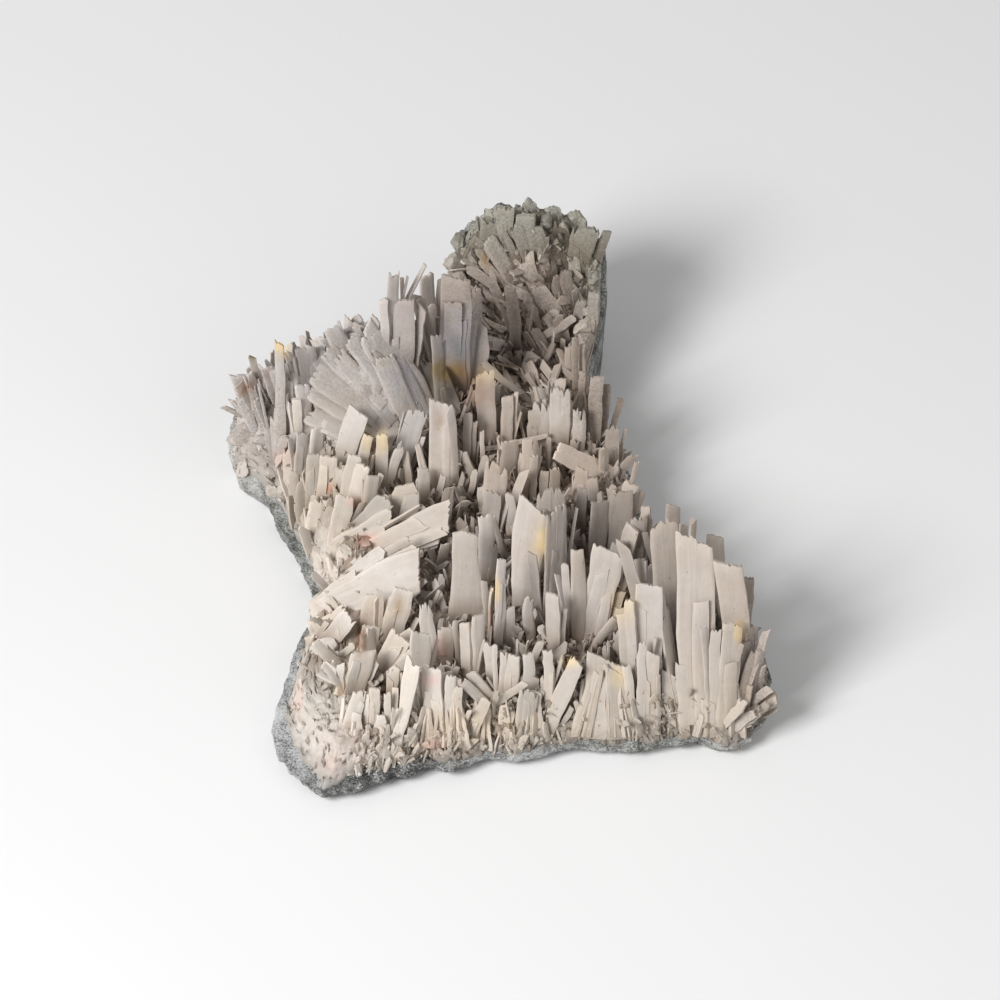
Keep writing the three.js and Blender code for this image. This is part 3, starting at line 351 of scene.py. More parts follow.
# How some blades differ from the rest, by the place of their tips on the sheet
SPECIAL = {
    (-18.2, 51.2): whole(sunk=1.5, foot_share=0.5, shade=0.99, ragged=0.4, chip=0.06, point=0),
    (-8.7, 60.5): whole(foot_share=1.5, chip=0.06, point=0.3),
    (-3.5, 39.2): dict(foot_share=1.5, strip=6, shade=1.08, ragged=0.3),
    (-21, 29.3): dict(foot_share=0.3, strip=6, shade=1.08, ragged=0.6),
    (-10.9, 124.5): dict(foot_share=0.9, strip=12, ragged=0.5, shade=1.0, chip=0.06),
    (-22.5, 73): dict(foot_share=0.9, strip=9, point=0.9, ragged=0.4),
    (-28, 60.5): dict(foot_share=0.7, strip=ONE_STRIP, turn_by=0, shade=1.0, ragged=0.5),
    (-11, 65): dict(foot_share=0.75, strip=ONE_STRIP, turn_by=0, ragged=0.5, shade=1.0, chip=0.2),
    (47.5, 60.5): dict(sunk=0.2, foot_share=0.62, strip=3.4, ragged=2.2, point=0, chip=0.15, shade=1.04),
    (8.3, 69): whole(foot_share=0.5, chip=0.08, shade=1.06, point=0),
    (14, 66): dict(shade=0.74, strip=3, ragged=1.5, chip=0.3, foot_share=1.0),
    (12.7, 65.5): dict(shade=0.8, chip=0.3),
    (55.7, 53.3): whole(shade=1.04, point=0, chip=0.08, turn_by=-6),
    # The next four blades on the right flank are made darker: painted shade on the side turned from the key
    # light.
    (53.3, 59.5): dict(shade=0.8, extras=False),
    (60.8, 48.5): dict(shade=0.72, extras=False),
    (59, 44): dict(shade=0.8),
    (60.9, 42.5): dict(shade=0.7, extras=False),
    (-10, 116): whole(foot_share=0.75, turn_by=0, shade=1.04, point=0.3, chip=0.08),
    (12.5, 71): dict(shade=0.82, chip=0.35, ragged=0.8),
    (24.8, 67.8): dict(shade=0.8),
    (30.5, 71): dict(shade=0.76, strip=ONE_STRIP, ragged=0.6, chip=0.15),
    (33, 62): whole(shade=1.12, ragged=0.5, point=0),
    (27, 56): dict(strip=ONE_STRIP, ragged=0.4, point=0, foot_share=0.75, chip=0.1),
    (36.5, 47.5): dict(foot_share=0.85, strip=9, ragged=0.8, chip=0.06, point=0),
    (-15, 93): dict(foot_share=1.0, strip=ONE_STRIP, ragged=0.4, point=0, chip=0.12),
    (-35, 90.5): dict(foot_share=0.8, strip=ONE_STRIP, ragged=0.4, point=0, shade=1.06),
    (-54.5, 107.2): dict(foot_share=1.0, strip=6, ragged=0.3, point=0),
    (-23.8, 117.2): dict(foot_share=1.0, strip=3, ragged=0.8),
    # This lying blade is made much paler: painted light on a face that the lamps leave in shade.
    (14, 80.3): whole(ragged=0.5, chip=0.08, shade=1.5, foot_share=1.0),
    (15, 97): dict(chip=0.5, shade=1.0, ragged=1.2),
    (10, 92): dict(chip=0.4, shade=1.02, ragged=1.2),
    (19.5, 90): dict(chip=0.5, shade=1.0),
    (-0.5, 77.5): dict(chip=0.45, shade=1.08, strip=ONE_STRIP),
    (-3.7, 100): whole(chip=0.3, shade=1.08),
}

# Needles and slivers between the blades, in the same columns.
NEEDLES = blade_rows(
    [60, 15, 61.5, 22, 0.2, 1.6, 1.5], [38.7, 13, 38.8, 25, 0.3, 1.3, 1.3],
    [43.2, 27, 40.2, 40, 0.2, 1.3, 1.3], [43, 26, 45.5, 39, 0.2, 1.6, 1.3],
    [46, 24, 46.3, 39.5, 0.22, 1.2, 1.2], [25.5, 36, 32, 50, 0.2, 1.3, 1.3],
    [-3, 36, -4, 48, 0.25, 1.6, 1.4, 20], [1.9, 52, -1.9, 64, 0.2, 1.4, 1.3],
    [-19, 49.8, -12.8, 52.3, 0.1, 1.2, 1.2], [-10.3, 27, -11, 38, 0.3, 1.4, 1.3],
    [-0.8, 19, -1.5, 32.5, 0.3, 1.4, 1.3], [0.2, 19, 0.9, 30.5, 0.3, 1.6, 1.4],
    [-17.5, 9, -21.5, 16, 0.2, 1.2, 1.2], [-33, 12, -32.4, 20.5, 0.3, 1.5, 1.4],
    [-36, 23, -41.3, 28.3, 0.1, 1.5, 1.4], [-7, 77, -6.2, 87.5, 0.2, 1.4, 1.3],
    [-4.3, 75, -4.5, 85, 0.2, 1.2, 1.2], [6.5, 84, 4.3, 91.8, 0.2, 1.2, 1.2],
    [32, 68, 34.2, 77.6, 0.1, 1.4, 1.4], [12.2, 74, 12.3, 83.7, 0.2, 1.3, 1.3],
    [-9.6, 80, 11.7, 83.8, 0.2, 1.3, 1.2], [21.7, 83, 27.4, 84.8, 0.2, 1.2, 1.1],
    [3.6, 81, 3.9, 94.6, 0.2, 1.2, 1.2], [-24.3, 105.5, -24.3, 123, 0.1, 1, 1],
)

# ---------------------------------------------------------------- colours
def srgb(red, green, blue):
    """A display colour given in 0 to 255, as the linear values that materials take."""
    c = np.array([red, green, blue]) / 255
    return np.where(c <= 0.04045, c / 12.92, ((c + 0.055) / 1.055) ** 2.4)


CREAM = srgb(217, 209, 200)
CHALK = srgb(206, 203, 199)
FRONT_CREAM = srgb(188, 179, 168)
LIGHT = srgb(228, 223, 220)
LILAC_WHITE = srgb(196, 188, 183)
RIGHT_LILAC = srgb(186, 178, 172)
MOUND_GREY = srgb(190, 185, 183)
TALL_GREY = srgb(166, 155, 149)
BROWN_GREY = srgb(188, 175, 163)
# Grey of the back: the lobe's own grey-brown, darkened further with painted shade.
BACK_GREY_AND_SHADE = srgb(178, 167, 159)
GREEN_GREY = srgb(166, 168, 158)

# Base colour by place: [X, S, reach in X, reach in S, colour, strength]; the back grey at the back lobe and
# the right flank is partly their own grey and partly painted shade.
REGIONS = [
    (-46, 8, 11, 16, CHALK, 4.0), (63, 46, 5, 10, BACK_GREY_AND_SHADE, 3.0), (-30, 25, 34, 30, CREAM, 1.6),
    (35, 42, 40, 24, RIGHT_LILAC, 1.5), (30, 14, 50, 12, FRONT_CREAM, 2.4),
    (0, 45, 22, 22, LILAC_WHITE, 1.0), (10, 85, 26, 18, BROWN_GREY, 1.3), (66, 30, 6, 20, BACK_GREY_AND_SHADE, 2.0),
    (-40, 70, 16, 11, FRONT_CREAM, 1.6), (-32, 99, 18, 13, MOUND_GREY, 6.0),
    (-62, 90, 9, 12, MOUND_GREY, 1.6), (10, 115, 24, 22, BACK_GREY_AND_SHADE, 3.2), (-14, 112, 12, 14, TALL_GREY, 4.0),
    (8, 138, 22, 7, GREEN_GREY, 4.0), (25, 128, 6, 14, GREEN_GREY, 3.5), (-14, 133, 8, 9, GREEN_GREY, 2.0),
    (-40, 90, 12, 6, CREAM, 1.0), (30, 95, 10, 12, BACK_GREY_AND_SHADE, 2.0), (45, 66, 16, 8, BROWN_GREY, 1.0),
]

# Places with a sugary surface: [X, S, reach in X, reach in S, strength]
SUGARY = [
    (-34, 100, 17, 10, 0.65), (10, 126, 24, 20, 1.0), (-62, 88, 10, 12, 0.9), (24, 95, 8, 14, 0.8),
    (64, 26, 5, 20, 0.8), (40, 8, 34, 5, 0.6), (-25, 8, 26, 6, 0.5),
]


def sugariness(points):
    """How sugary the surface is at points in millimetres, from 0 to 1."""
    total = np.zeros(len(points))
    for *place, strength in SUGARY:
        total = np.maximum(total, strength * spot(points[:, 0], up_sheet(points), *place, power=4))
    return total


YELLOW = srgb(240, 206, 128)
OCHRE = srgb(172, 136, 72)
OLIVE = srgb(130, 115, 70)
BROWN = srgb(140, 100, 70)
PAINTED_SHADE_BROWN = srgb(84, 72, 63)
# Dark brown of deep shade, painted as patches among the stains.
BROWN_DARK = srgb(120, 108, 96)
BLUE_GREY = srgb(166, 168, 176)
ORANGE = srgb(214, 130, 88)
PINK = srgb(225, 165, 150)
YELLOW_CREAM = srgb(240, 215, 160)

# Stains, and dark patches of painted shade in the shade brown: [X, S, reach in X, reach in S, colour,
# strength]
STAINS = [
    (3.5, 103.5, 3.6, 4, PAINTED_SHADE_BROWN, 0.85), (13, 91, 5, 6, LIGHT, 0.4), (19.3, 87, 2.6, 5, LIGHT, 0.35),
    (22, 92, 3.5, 4, BROWN_DARK, 0.4), (9.8, 57, 2.2, 6, YELLOW_CREAM, 0.35),
    (10.2, 57.5, 1.2, 3.4, YELLOW, 0.4), (-27, 49, 9, 4, LIGHT, 0.35), (-3.5, 99, 4, 3, YELLOW_CREAM, 0.35),
    (-13, 100, 4.2, 3.4, OCHRE, 0.8), (-1.5, 115.5, 2, 3, PAINTED_SHADE_BROWN, 0.7),
    (-10, 108, 5.5, 7.5, BLUE_GREY, 0.75), (-23.5, 98, 5, 5, BLUE_GREY, 0.45),
    (58.6, 35.5, 1.5, 2.4, YELLOW, 0.5), (-10, 100, 2.6, 2.6, OCHRE, 0.6),
    (-15.5, 98.5, 3.4, 5, OLIVE, 0.55), (-6, 95, 5, 5, BROWN, 0.5), (-54.4, 106, 1.6, 2.8, YELLOW, 0.55),
    (-62.4, 103.6, 1.3, 1.6, OLIVE, 0.8), (-64, 96, 2.4, 2.2, BROWN, 0.6),
    (-33, 82.5, 1.4, 3.0, YELLOW, 0.35), (-29.4, 82.5, 1.8, 3.2, YELLOW_CREAM, 0.5),
    (-54, 78.5, 3, 2.6, ORANGE, 0.15), (-42.5, 70.5, 1.2, 1.3, ORANGE, 0.6), (-36, 67, 2, 1.6, PINK, 0.4),
    (-34, 33.5, 1.8, 3.6, BROWN, 0.65), (-17, 24, 2.4, 2, PINK, 0.35), (-2.4, 39, 0.8, 4, BROWN, 0.6),
    (-4, 128.5, 0.9, 2.2, OCHRE, 0.55), (-49.5, 18, 1.0, 5, PINK, 0.3), (-42, 2, 4, 3, PINK, 0.2),
    (-39.5, 21, 1.6, 1.4, YELLOW, 0.35), (-33, 57.5, 3, 2, PINK, 0.45), (-1, 46, 1.2, 3.5, YELLOW, 0.45),
    (29, 24, 2, 3, YELLOW_CREAM, 0.4), (-3, 13, 10, 4, YELLOW_CREAM, 0.12), (-40, 8, 10, 7, PINK, 0.08),
    (30, 42, 4, 5, YELLOW_CREAM, 0.3), (-14, 31, 2, 3, PINK, 0.3), (-15.5, 88, 1.5, 2.5, BROWN, 0.35),
    (-34.5, 33, 0.9, 3, BROWN, 0.5), (-25, 41.5, 1.1, 2.6, OCHRE, 0.5), (-16.5, 7.5, 3, 1.5, PINK, 0.3),
    (17, 28, 2.4, 1.5, YELLOW_CREAM, 0.6), (-64, 95.8, 1.6, 1.4, BROWN, 0.5),
    (-58.5, 99, 2, 1.5, BROWN, 0.3),
]


BASE_WEIGHT = 0.25
STAIN_GAIN = 1.3
STAIN_CUT = 0.15


def blended(points, regions, base, base_weight):
    """Mean of a base colour and those of the regions, weighted by how near each region is on the sheet."""
    weight = np.full(len(points), base_weight)
    total = weight[:, None] * base
    for *place, colour, strength in regions:
        near = strength * spot(points[:, 0], up_sheet(points), *place)
        weight = weight + near
        total = total + near[:, None] * colour
    return total / weight[:, None]


def place_colour(points):
    """Colour of the crust and blades at world points given in millimetres, from the sheet they lie on."""
    colour_here = blended(points, REGIONS, LILAC_WHITE, BASE_WEIGHT)
    uneven = 1 + 0.5 * value_noise(points, 1.6, 77)
    for *place, colour, strength in STAINS:
        near = spot(points[:, 0], up_sheet(points), *place) * uneven
        near = strength * np.clip(near * STAIN_GAIN - STAIN_CUT, 0, 1)
        colour_here = colour_here + (colour - colour_here) * near[:, None]
    return colour_here


# ---------------------------------------------------------------- repeatable noise
CELL_FACTORS = (73856093, 19349663, 83492791)
SEED_FACTOR = 2654435
MIX_FACTOR = 1274126177
LOW_32_BITS = 0xFFFFFFFF
LOW_16_BITS = 0xFFFF


def lattice_value(cells, seed):
    """A number from -1 to 1 for each cell, always the same for the same seed."""
    mixed = seed * SEED_FACTOR
    for cell, factor in zip(cells, CELL_FACTORS):
        mixed = mixed ^ (cell * factor)
    mixed = ((mixed ^ (mixed >> 13)) & LOW_32_BITS) * MIX_FACTOR
    mixed = (mixed ^ (mixed >> 16)) & LOW_16_BITS
    return mixed / (LOW_16_BITS / 2) - 1


def value_noise(points, size, seed):
    """Smooth noise from -1 to 1 whose lumps are about size across."""
    p = points / size
    cell = np.floor(p).astype(np.int64)
    f = p - cell
    f = f * f * (3 - 2 * f)
    total = np.zeros(len(points))
    for dx in (0, 1):
        for dy in (0, 1):
            for dz in (0, 1):
                share = (f[:, 0] if dx else 1 - f[:, 0]) * (f[:, 1] if dy else 1 - f[:, 1])
                share = share * (f[:, 2] if dz else 1 - f[:, 2])
                corner = (cell[:, 0] + dx, cell[:, 1] + dy, cell[:, 2] + dz)
                total = total + share * lattice_value(corner, seed)
    return total


def layered_noise(points, size, layers, seed):
    total = np.zeros(len(points))
    for layer in range(layers):
        total = total + value_noise(points, size / 2**layer, seed + layer) / 2**layer
    return total


# ---------------------------------------------------------------- mesh building
SHARP_ANGLE = math.radians(32)


@functools.cache
def slab_faces(rows, cols):
    """Quads of a closed slab: a front grid, a back grid behind it and the four edges between them."""
    front = np.arange(rows * cols).reshape(rows, cols)
    back = front + rows * cols

    def quads(a, b, c, d):
        return np.stack([a.ravel(), b.ravel(), c.ravel(), d.ravel()], axis=1)

    return np.concatenate([
        quads(front[:-1, :-1], front[:-1, 1:], front[1:, 1:], front[1:, :-1]),
        quads(back[:-1, :-1], back[1:, :-1], back[1:, 1:], back[:-1, 1:]),
        quads(front[:-1, 0], front[1:, 0], back[1:, 0], back[:-1, 0]),
        quads(front[:-1, -1], back[:-1, -1], back[1:, -1], front[1:, -1]),
        quads(front[-1, :-1], front[-1, 1:], back[-1, 1:], back[-1, :-1]),
        quads(front[0, :-1], back[0, :-1], back[0, 1:], front[0, 1:]),
    ])


class Batch:
    """Closed pieces gathered into one mesh; each point has its place on its lath, a shade and a rise."""

    def __init__(self):
        self.points, self.faces, self.laths, self.shades, self.rises = [], [], [], [], []
        self.count = 0

    def add(self, points, faces, lath, shade, rise):
        """Shade is a factor on the colour; rise goes from 0 at the roots, browned with stain and painted
        shade, to 1.
        """
        self.points.append(points)
        self.faces.append(faces + self.count)
        self.laths.append(lath)
        self.shades.append(np.broadcast_to(shade, (len(points),)))
        self.rises.append(np.broadcast_to(rise, (len(points),)))
        self.count += len(points)

    def build(self, name, material, colour_of=place_colour, node="quartz_blades"):
        """Make the piece; its tint carries the sugariness of the surface in its alpha."""
        points = np.concatenate(self.points)
        faces = np.concatenate(self.faces)
        shades = np.concatenate(self.shades)
        tint = np.ones((len(points), 4))
        tint[:, :3] = colour_of(points) * shades[:, None]
        tint[:, 3] = sugariness(points)
        mesh = bpy.data.meshes.new(name)
        mesh.vertices.add(len(points))
        placed = points.copy()
        placed[:, 1] -= MIDDLE[1]
        mesh.vertices.foreach_set("co", (placed * MM).ravel())
        mesh.loops.add(len(faces) * 4)
        mesh.loops.foreach_set("vertex_index", faces.astype(np.int32).ravel())
        mesh.polygons.add(len(faces))
        mesh.polygons.foreach_set("loop_start", np.arange(len(faces), dtype=np.int32) * 4)
        mesh.update(calc_edges=True)
        for label, kind, field, values in (
                ("tint", "FLOAT_COLOR", "color", tint),
                ("lath", "FLOAT_VECTOR", "vector", np.concatenate(self.laths)),
                ("rise", "FLOAT", "value", np.concatenate(self.rises))):
            mesh.attributes.new(label, kind, "POINT").data.foreach_set(field, values.ravel())
        mesh.shade_smooth()
        mesh.set_sharp_from_angle(angle=SHARP_ANGLE)
        mesh.materials.append(material)
        mesh.validate()
        piece = bpy.data.objects.new(name, mesh)
        bpy.context.scene.collection.objects.link(piece)
        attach(piece, "root")
        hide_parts(node)
        print(f"{name}: {len(faces) * 2} triangles")


def unit(vector):
    vector = np.asarray(vector, dtype=float)
    return vector / np.linalg.norm(vector)


TOWARDS_SHEET = np.array([0.0, -1.0, 1.0])
# Lighter rims of the laths: partly their whiter edges, partly a painted highlight.
RIM_WHITE_AND_HIGHLIGHT = 0.1
RISE_HEIGHT = 14
LATH_GAP = 0.012
LATH_EDGE = 0.001
THIN_EDGE = 0.7
TIP_THINNING = 0.75
CLIMB_THINNING = 0.2
SWAY = 0.12
FRAY = 0.10
WAVE = 0.10
CUP = 0.07
BOW = 0.03
STRIATION = 0.05
CHIP_CHANCE = 0.14


def turned(across, facing, degrees):
    c, s = math.cos(math.radians(degrees)), math.sin(math.radians(degrees))
    return across * c - facing * s, across * s + facing * c


def blade_axes(along, turn):
    """Across and facing of a blade whose broad face looks off the sheet, turned about its length."""
    facing = TOWARDS_SHEET - along * np.dot(TOWARDS_SHEET, along)
    if np.linalg.norm(facing) < 0.2:
        facing = np.cross(along, (1.0, 0.0, 0.0))
    facing = unit(facing)
    return turned(np.cross(along, facing), facing, turn)


def tip_profile(rng, us, half, strip_edges, length, slant, ragged, point, chip):
    """Length of the lath at each place across it: a slanted or pointed end with steps and small chips."""
    drops = ragged * rng.exponential(0.45, len(strip_edges) - 1)
    drops = np.minimum(drops - drops.min(), 0.4 * length)
    strip = np.clip(np.searchsorted(strip_edges, us, side="right") - 1, 0, len(drops) - 1)
    fall = slant * (us + half) if slant > 0 else -slant * (half - us)
    peak = rng.uniform(-0.6, 0.6) * half
    sides = point * np.maximum((us - peak) / (half - peak), (peak - us) / (half + peak)) * half
    chips = chip * rng.standard_normal(len(us))
    chips = chips - 5 * chip * (rng.uniform(0, 1, len(us)) > 1 - CHIP_CHANCE) * min(half, 1)
    return np.maximum(length - drops[strip] - fall - sides + chips, 0.25 * length)


def plate(batch, rng, foot, along, across, facing, length, width, thickness, *, rise_from, slant=0.0,
          ragged=1.2, point=0.0, strip=3.4, buried=FOOT_DEPTH, foot_share=None, shade=1.0, relief=0.08,
          row=1.7, column=0.8, chip=0.1):
    """A flat lath with a stepped tip: parallel strips of unequal length and thickness grown together."""
    half = width / 2
    count = max(1, int(round(width / (strip * rng.uniform(0.6, 1.6)))))
    edges = np.cumsum([0, *(0.35 + rng.exponential(1, count))])
    edges = (2 * edges / edges[-1] - 1) * half
    lifts = rng.uniform(-1, 1, count) * relief * thickness
    sinks = rng.uniform(-1, 1, count) * relief * thickness
    us, front, back = [], [], []
    for i in range(count):
        left = edges[i] + (LATH_GAP if i else 0)
        right = edges[i + 1] - LATH_EDGE
        inner = max(1, int(round((right - left) / column)))
        us.extend(np.linspace(left, right, inner + 1))
        front.extend([thickness / 2 + lifts[i]] * (inner + 1))
        back.extend([-thickness / 2 + sinks[i]] * (inner + 1))
    us, front, back = map(np.array, (us, front, back))
    front[[0, -1]] *= THIN_EDGE
    back[[0, -1]] *= THIN_EDGE
    tips = tip_profile(rng, us, half, edges, length, slant, ragged, point, chip)
    cols = len(us)
    rows = max(3, int(round(length / row)) + 1)
    share = np.linspace(0, 1, rows)[:, None]
    y = -buried + share * (tips[None, :] + buried)
    climb = np.clip(y / length, 0, 1)
    foot_share = rng.uniform(0.6, 1.05) if foot_share is None else foot_share
    widest = rng.uniform(0.35, 0.9)
    taper_to = rng.uniform(0.78, 1.0)
    breadth = np.interp(climb, [0, widest, 1], [foot_share, 1, taper_to])
    knots = np.linspace(-buried, length, 5)
    sway = SWAY * np.interp(y, knots, rng.standard_normal(5) * min(half, 1.2))
    fray = FRAY * np.interp(y, np.linspace(-buried, length, 12), rng.standard_normal(12))
    on_edge = np.abs(us / half) > 0.97
    u = us[None, :] * breadth + sway + np.where(on_edge, fray * min(1, half), 0)
    wave = WAVE * np.interp(y, knots, rng.standard_normal(5))
    cup = rng.uniform(-CUP, CUP) * (us[None, :] / half) ** 2 * half
    bow = rng.uniform(-BOW, BOW) * climb**2 * length
    arch = bow + wave + cup
    thin = np.where(share > 0.999, TIP_THINNING, 1.0) * (1 - CLIMB_THINNING * climb)
    seed = rng.uniform(0, 500)
    scratch = np.stack([u.ravel() / 0.9 + seed, y.ravel() / 8 + seed, np.full(u.size, seed)], axis=1)
    stria = (STRIATION * min(thickness, 1.6) * value_noise(scratch, 1.0, 5)).reshape(u.shape)
    zf = front[None, :] * thin + stria + arch
    zb = back[None, :] * thin - stria + arch
    grid_u = np.concatenate([u.ravel(), u.ravel()])
    grid_y = np.concatenate([y.ravel(), y.ravel()])
    grid_z = np.concatenate([zf.ravel(), zb.ravel()])
    points = foot + grid_u[:, None] * across + grid_y[:, None] * along + grid_z[:, None] * facing
    lath = np.stack([grid_u + seed, grid_y, np.full(len(grid_u), seed)], axis=1)
    # Edges and tip are made lighter: partly whiter edges, partly a painted highlight where light catches
    # them.
    rim = np.maximum(smooth_step(0.8, 1, np.abs(us / half))[None, :], smooth_step(0.92, 1, share)).ravel()
    shade = shade * (1 + RIM_WHITE_AND_HIGHLIGHT * np.concatenate([rim, rim]))
    # Rise browns the lath towards its foot: partly stain, partly painted shade among the roots.
    rise = np.clip((grid_y + rise_from) / RISE_HEIGHT, 0, 1)
    batch.add(points, slab_faces(rows, cols), lath, shade, rise)


BROAD = 6.3
BROAD_TURN = 8
LOOSE_TURN = 28
MAIN_STRIPS = [3.2, 6.0, 12.0]
MAIN_CHIPS = [0.05, 0.1, 0.22]
BIG_BUTTRESS = 10
BUTTRESS_RISE = 7
LYING_RISE = 9
SLIMMING = 0.75


def blade(batch, rng, foot, along, length, width, thickness, turn, slant, ragged=1.5, extras=True, **shape):
    """A large blade: a main plate with thinner plates lying on it, beside it and behind it."""
    loose = BROAD_TURN if width > BROAD else LOOSE_TURN
    across, facing = blade_axes(along, turn + shape.pop("turn_by", rng.uniform(-loose, loose)))
    spread = 0.05 + 0.17 * float(smooth_step(30, 65, foot[1]))
    main = dict(slant=slant + rng.uniform(-0.25, 0.25), ragged=ragged,
                shade=rng.uniform(1.01 - spread, 1.01 + spread),
                point=rng.uniform(0, 0.7) * (rng.uniform() < 0.4), foot_share=rng.uniform(0.7, 1.0), row=1.3,
                column=0.5, strip=rng.choice(MAIN_STRIPS), chip=rng.choice(MAIN_CHIPS))
    main.update(shape)
    tone = main["shade"]
    plate(batch, rng, foot, along, across, facing, length, width, thickness, **main)
    if width < 2.5 or not extras:
        return
    side = rng.choice([-1, 1])
    for layer in range(int(rng.uniform() < 0.7) + int(width > 6)):
        share = rng.uniform(0.3, 0.65)
        shift = side * (0.5 - share / 2) * width * rng.uniform(0.3, 1.1)
        start = foot + across * shift + facing * (0.3 * thickness * (1 + layer * 0.4))
        lean = unit(along + across * rng.uniform(-0.05, 0.05) + facing * rng.uniform(0, 0.03))
        flat, out = turned(across, facing, rng.uniform(-7, 7))
        plate(batch, rng, start, lean, flat, out, length * rng.uniform(0.25, 0.85), width * share,
              thickness * 0.5, slant=rng.uniform(-0.9, 0.9), ragged=ragged,
              shade=tone * rng.uniform(0.97, 1.03), rise_from=main["rise_from"])
        side = -side
    for _ in range(2 + int(width > 5)):
        shift = rng.choice([-1, 1]) * width * rng.uniform(0.25, 0.6)
        start = foot + across * shift - facing * (0.6 * thickness * rng.uniform(0.5, 2.0))
        lean = unit(along + across * (0.35 * shift / width + rng.uniform(-0.1, 0.1)))
        flat, out = turned(across, facing, rng.uniform(-60, 60))
        plate(batch, rng, start, lean, flat, out, length * rng.uniform(0.3, 0.95),
              width * rng.uniform(0.15, 0.5), thickness * 0.65, ragged=ragged, slant=rng.uniform(-1, 1),
              shade=tone * rng.uniform(0.9, 1.0), rise_from=main["rise_from"])


def buttress(batch, rng, row):
    """A plate that widens to its foot, with thin ridges that run down it from near its tip."""
    base, thickness, turn, slant = row[5:]
    foot, run = sheet_run(row)
    length = np.linalg.norm(run)
    along = run / length
    across, facing = blade_axes(along, turn)
    tone = rng.uniform(0.98, 1.06)
    plate(batch, rng, foot, along, across, facing, length, 0.6 * base, thickness, slant=slant,
          foot_share=1.7, strip=ONE_STRIP, ragged=0.4, shade=tone, row=1.2, column=0.5,
          rise_from=BUTTRESS_RISE, buried=buried_depth(foot), chip=0.06)
    if base > BIG_BUTTRESS:
        for side in (-1, 1):
            start = foot + across * (side * 0.2 * base) + facing * (0.5 * thickness)
            lean = unit(along - across * (0.5 * side * 0.2 * base / length))
            flat, out = turned(across, facing, side * rng.uniform(14, 24))
            plate(batch, rng, start, lean, flat, out, length * rng.uniform(0.72, 0.9), 0.3 * base, 1.2,
                  strip=ONE_STRIP, foot_share=1.5, slant=rng.uniform(-0.5, 0.5), shade=tone * 0.98,
                  rise_from=BUTTRESS_RISE, buried=2, row=1.5)
    ridges = 4 + int(base > BIG_BUTTRESS) * 5
    for place in np.linspace(-0.9, 0.9, ridges) + rng.uniform(-0.12, 0.12, ridges):
        start = foot + across * (place * base / 2) + facing * (0.5 * thickness)
        reach = length * rng.uniform(0.4, 0.92) * (1 - 0.25 * abs(place))
        lean = unit(along - across * (0.85 * place * base / 2 / length) + 0.03 * rng.standard_normal(3))
        flat, out = turned(across, facing, rng.choice([-1, 1]) * rng.uniform(35, 75))
        plate(batch, rng, start, lean, flat, out, reach, rng.uniform(1.2, 2.8), rng.uniform(0.7, 1.3),
              strip=3, foot_share=rng.uniform(1.0, 1.8), shade=tone * rng.uniform(0.96, 1.03),
              point=rng.uniform(0.3, 0.9), rise_from=BUTTRESS_RISE + 1, row=1.5,
              buried=0.8 * buried_depth(foot))


def straw(batch, rng, box, spacing, keep, heading, spread, length, width, thickness=(0.5, 1.1),
          lift=(0, 0.25), tone=(0.97, 1.07), tilt=25, above=(0.0, 1.2)):
    """Laths lying on the crust, about in the heading given in degrees from +X towards the back."""
    for x, y, z, normal in zip(*jittered(rng, box, spacing, 0.8, keep)):
        angle = math.radians(heading + spread * rng.standard_normal())
        along = np.array([math.cos(angle), math.sin(angle), 0.0])
        along = unit(along - normal * np.dot(along, normal) + normal * rng.uniform(*lift))
        across = unit(np.cross(along, normal))
        flat, out = turned(across, np.cross(across, along), rng.uniform(-tilt, tilt))
        reach = rng.uniform(*length)
        start = np.array([x, y, z]) + normal * rng.uniform(*above) - along * (0.4 * reach)
        if in_the_way(start, along, reach, (0.1, 0.5, 0.95)):
            continue
        plate(batch, rng, start, along, flat, out, reach, rng.uniform(*width), rng.uniform(*thickness),
              strip=4, buried=0.5, ragged=0.8, slant=rng.uniform(-1, 1), shade=rng.uniform(*tone),
              rise_from=LYING_RISE, row=2.2, foot_share=rng.uniform(0.5, 1.0), point=rng.uniform(0, 0.8))


def cube_sphere(n):
    """Points and quads of a ball made of six n by n grids that share the points of their edges."""
    line = np.tan(np.linspace(-math.pi / 4, math.pi / 4, n + 1))
    a, b = np.meshgrid(line, line, indexing="ij")
    keys, points, quads = {}, [], []
    for axis in range(3):
        for sign in (-1, 1):
            grid = np.zeros((n + 1, n + 1, 3))
            grid[..., axis] = sign
            grid[..., (axis + 1) % 3] = a if sign > 0 else b
            grid[..., (axis + 2) % 3] = b if sign > 0 else a
            index = np.zeros((n + 1, n + 1), dtype=int)
            for i in range(n + 1):
                for j in range(n + 1):
                    key = tuple(np.round(grid[i, j], 5))
                    if key not in keys:
                        keys[key] = len(points)
                        points.append(grid[i, j] / np.linalg.norm(grid[i, j]))
                    index[i, j] = keys[key]
            quads.append(np.stack([index[:-1, :-1], index[1:, :-1], index[1:, 1:], index[:-1, 1:]], axis=-1)
                         .reshape(-1, 4))
    return np.array(points), np.concatenate(quads)


COARSE = 2
FINE = 6
FLATS = (0.35, 0.75)
BALLS = {n: cube_sphere(n) for n in (COARSE, FINE)}


def lump(batch, rng, centre, size, detail, shade, rise, cuts):
    """A broken grain or block: a ball cut by random flats."""
    ball, quads = BALLS[detail]
    points = ball.copy()
    for _ in range(cuts):
        normal = unit(rng.standard_normal(3))
        over = np.maximum(points @ normal - rng.uniform(*FLATS), 0)
        points -= over[:, None] * normal
    stretch = np.asarray(size) / 2 * 1.25
    turn = np.linalg.qr(rng.standard_normal((3, 3)))[0]
    if np.linalg.det(turn) < 0:
        turn[0] *= -1
    points = (points * stretch) @ turn
    points = points + 0.05 * rng.standard_normal(points.shape) * min(stretch) + centre
    batch.add(points, quads, points * 0.9 + rng.uniform(0, 99), shade, rise)


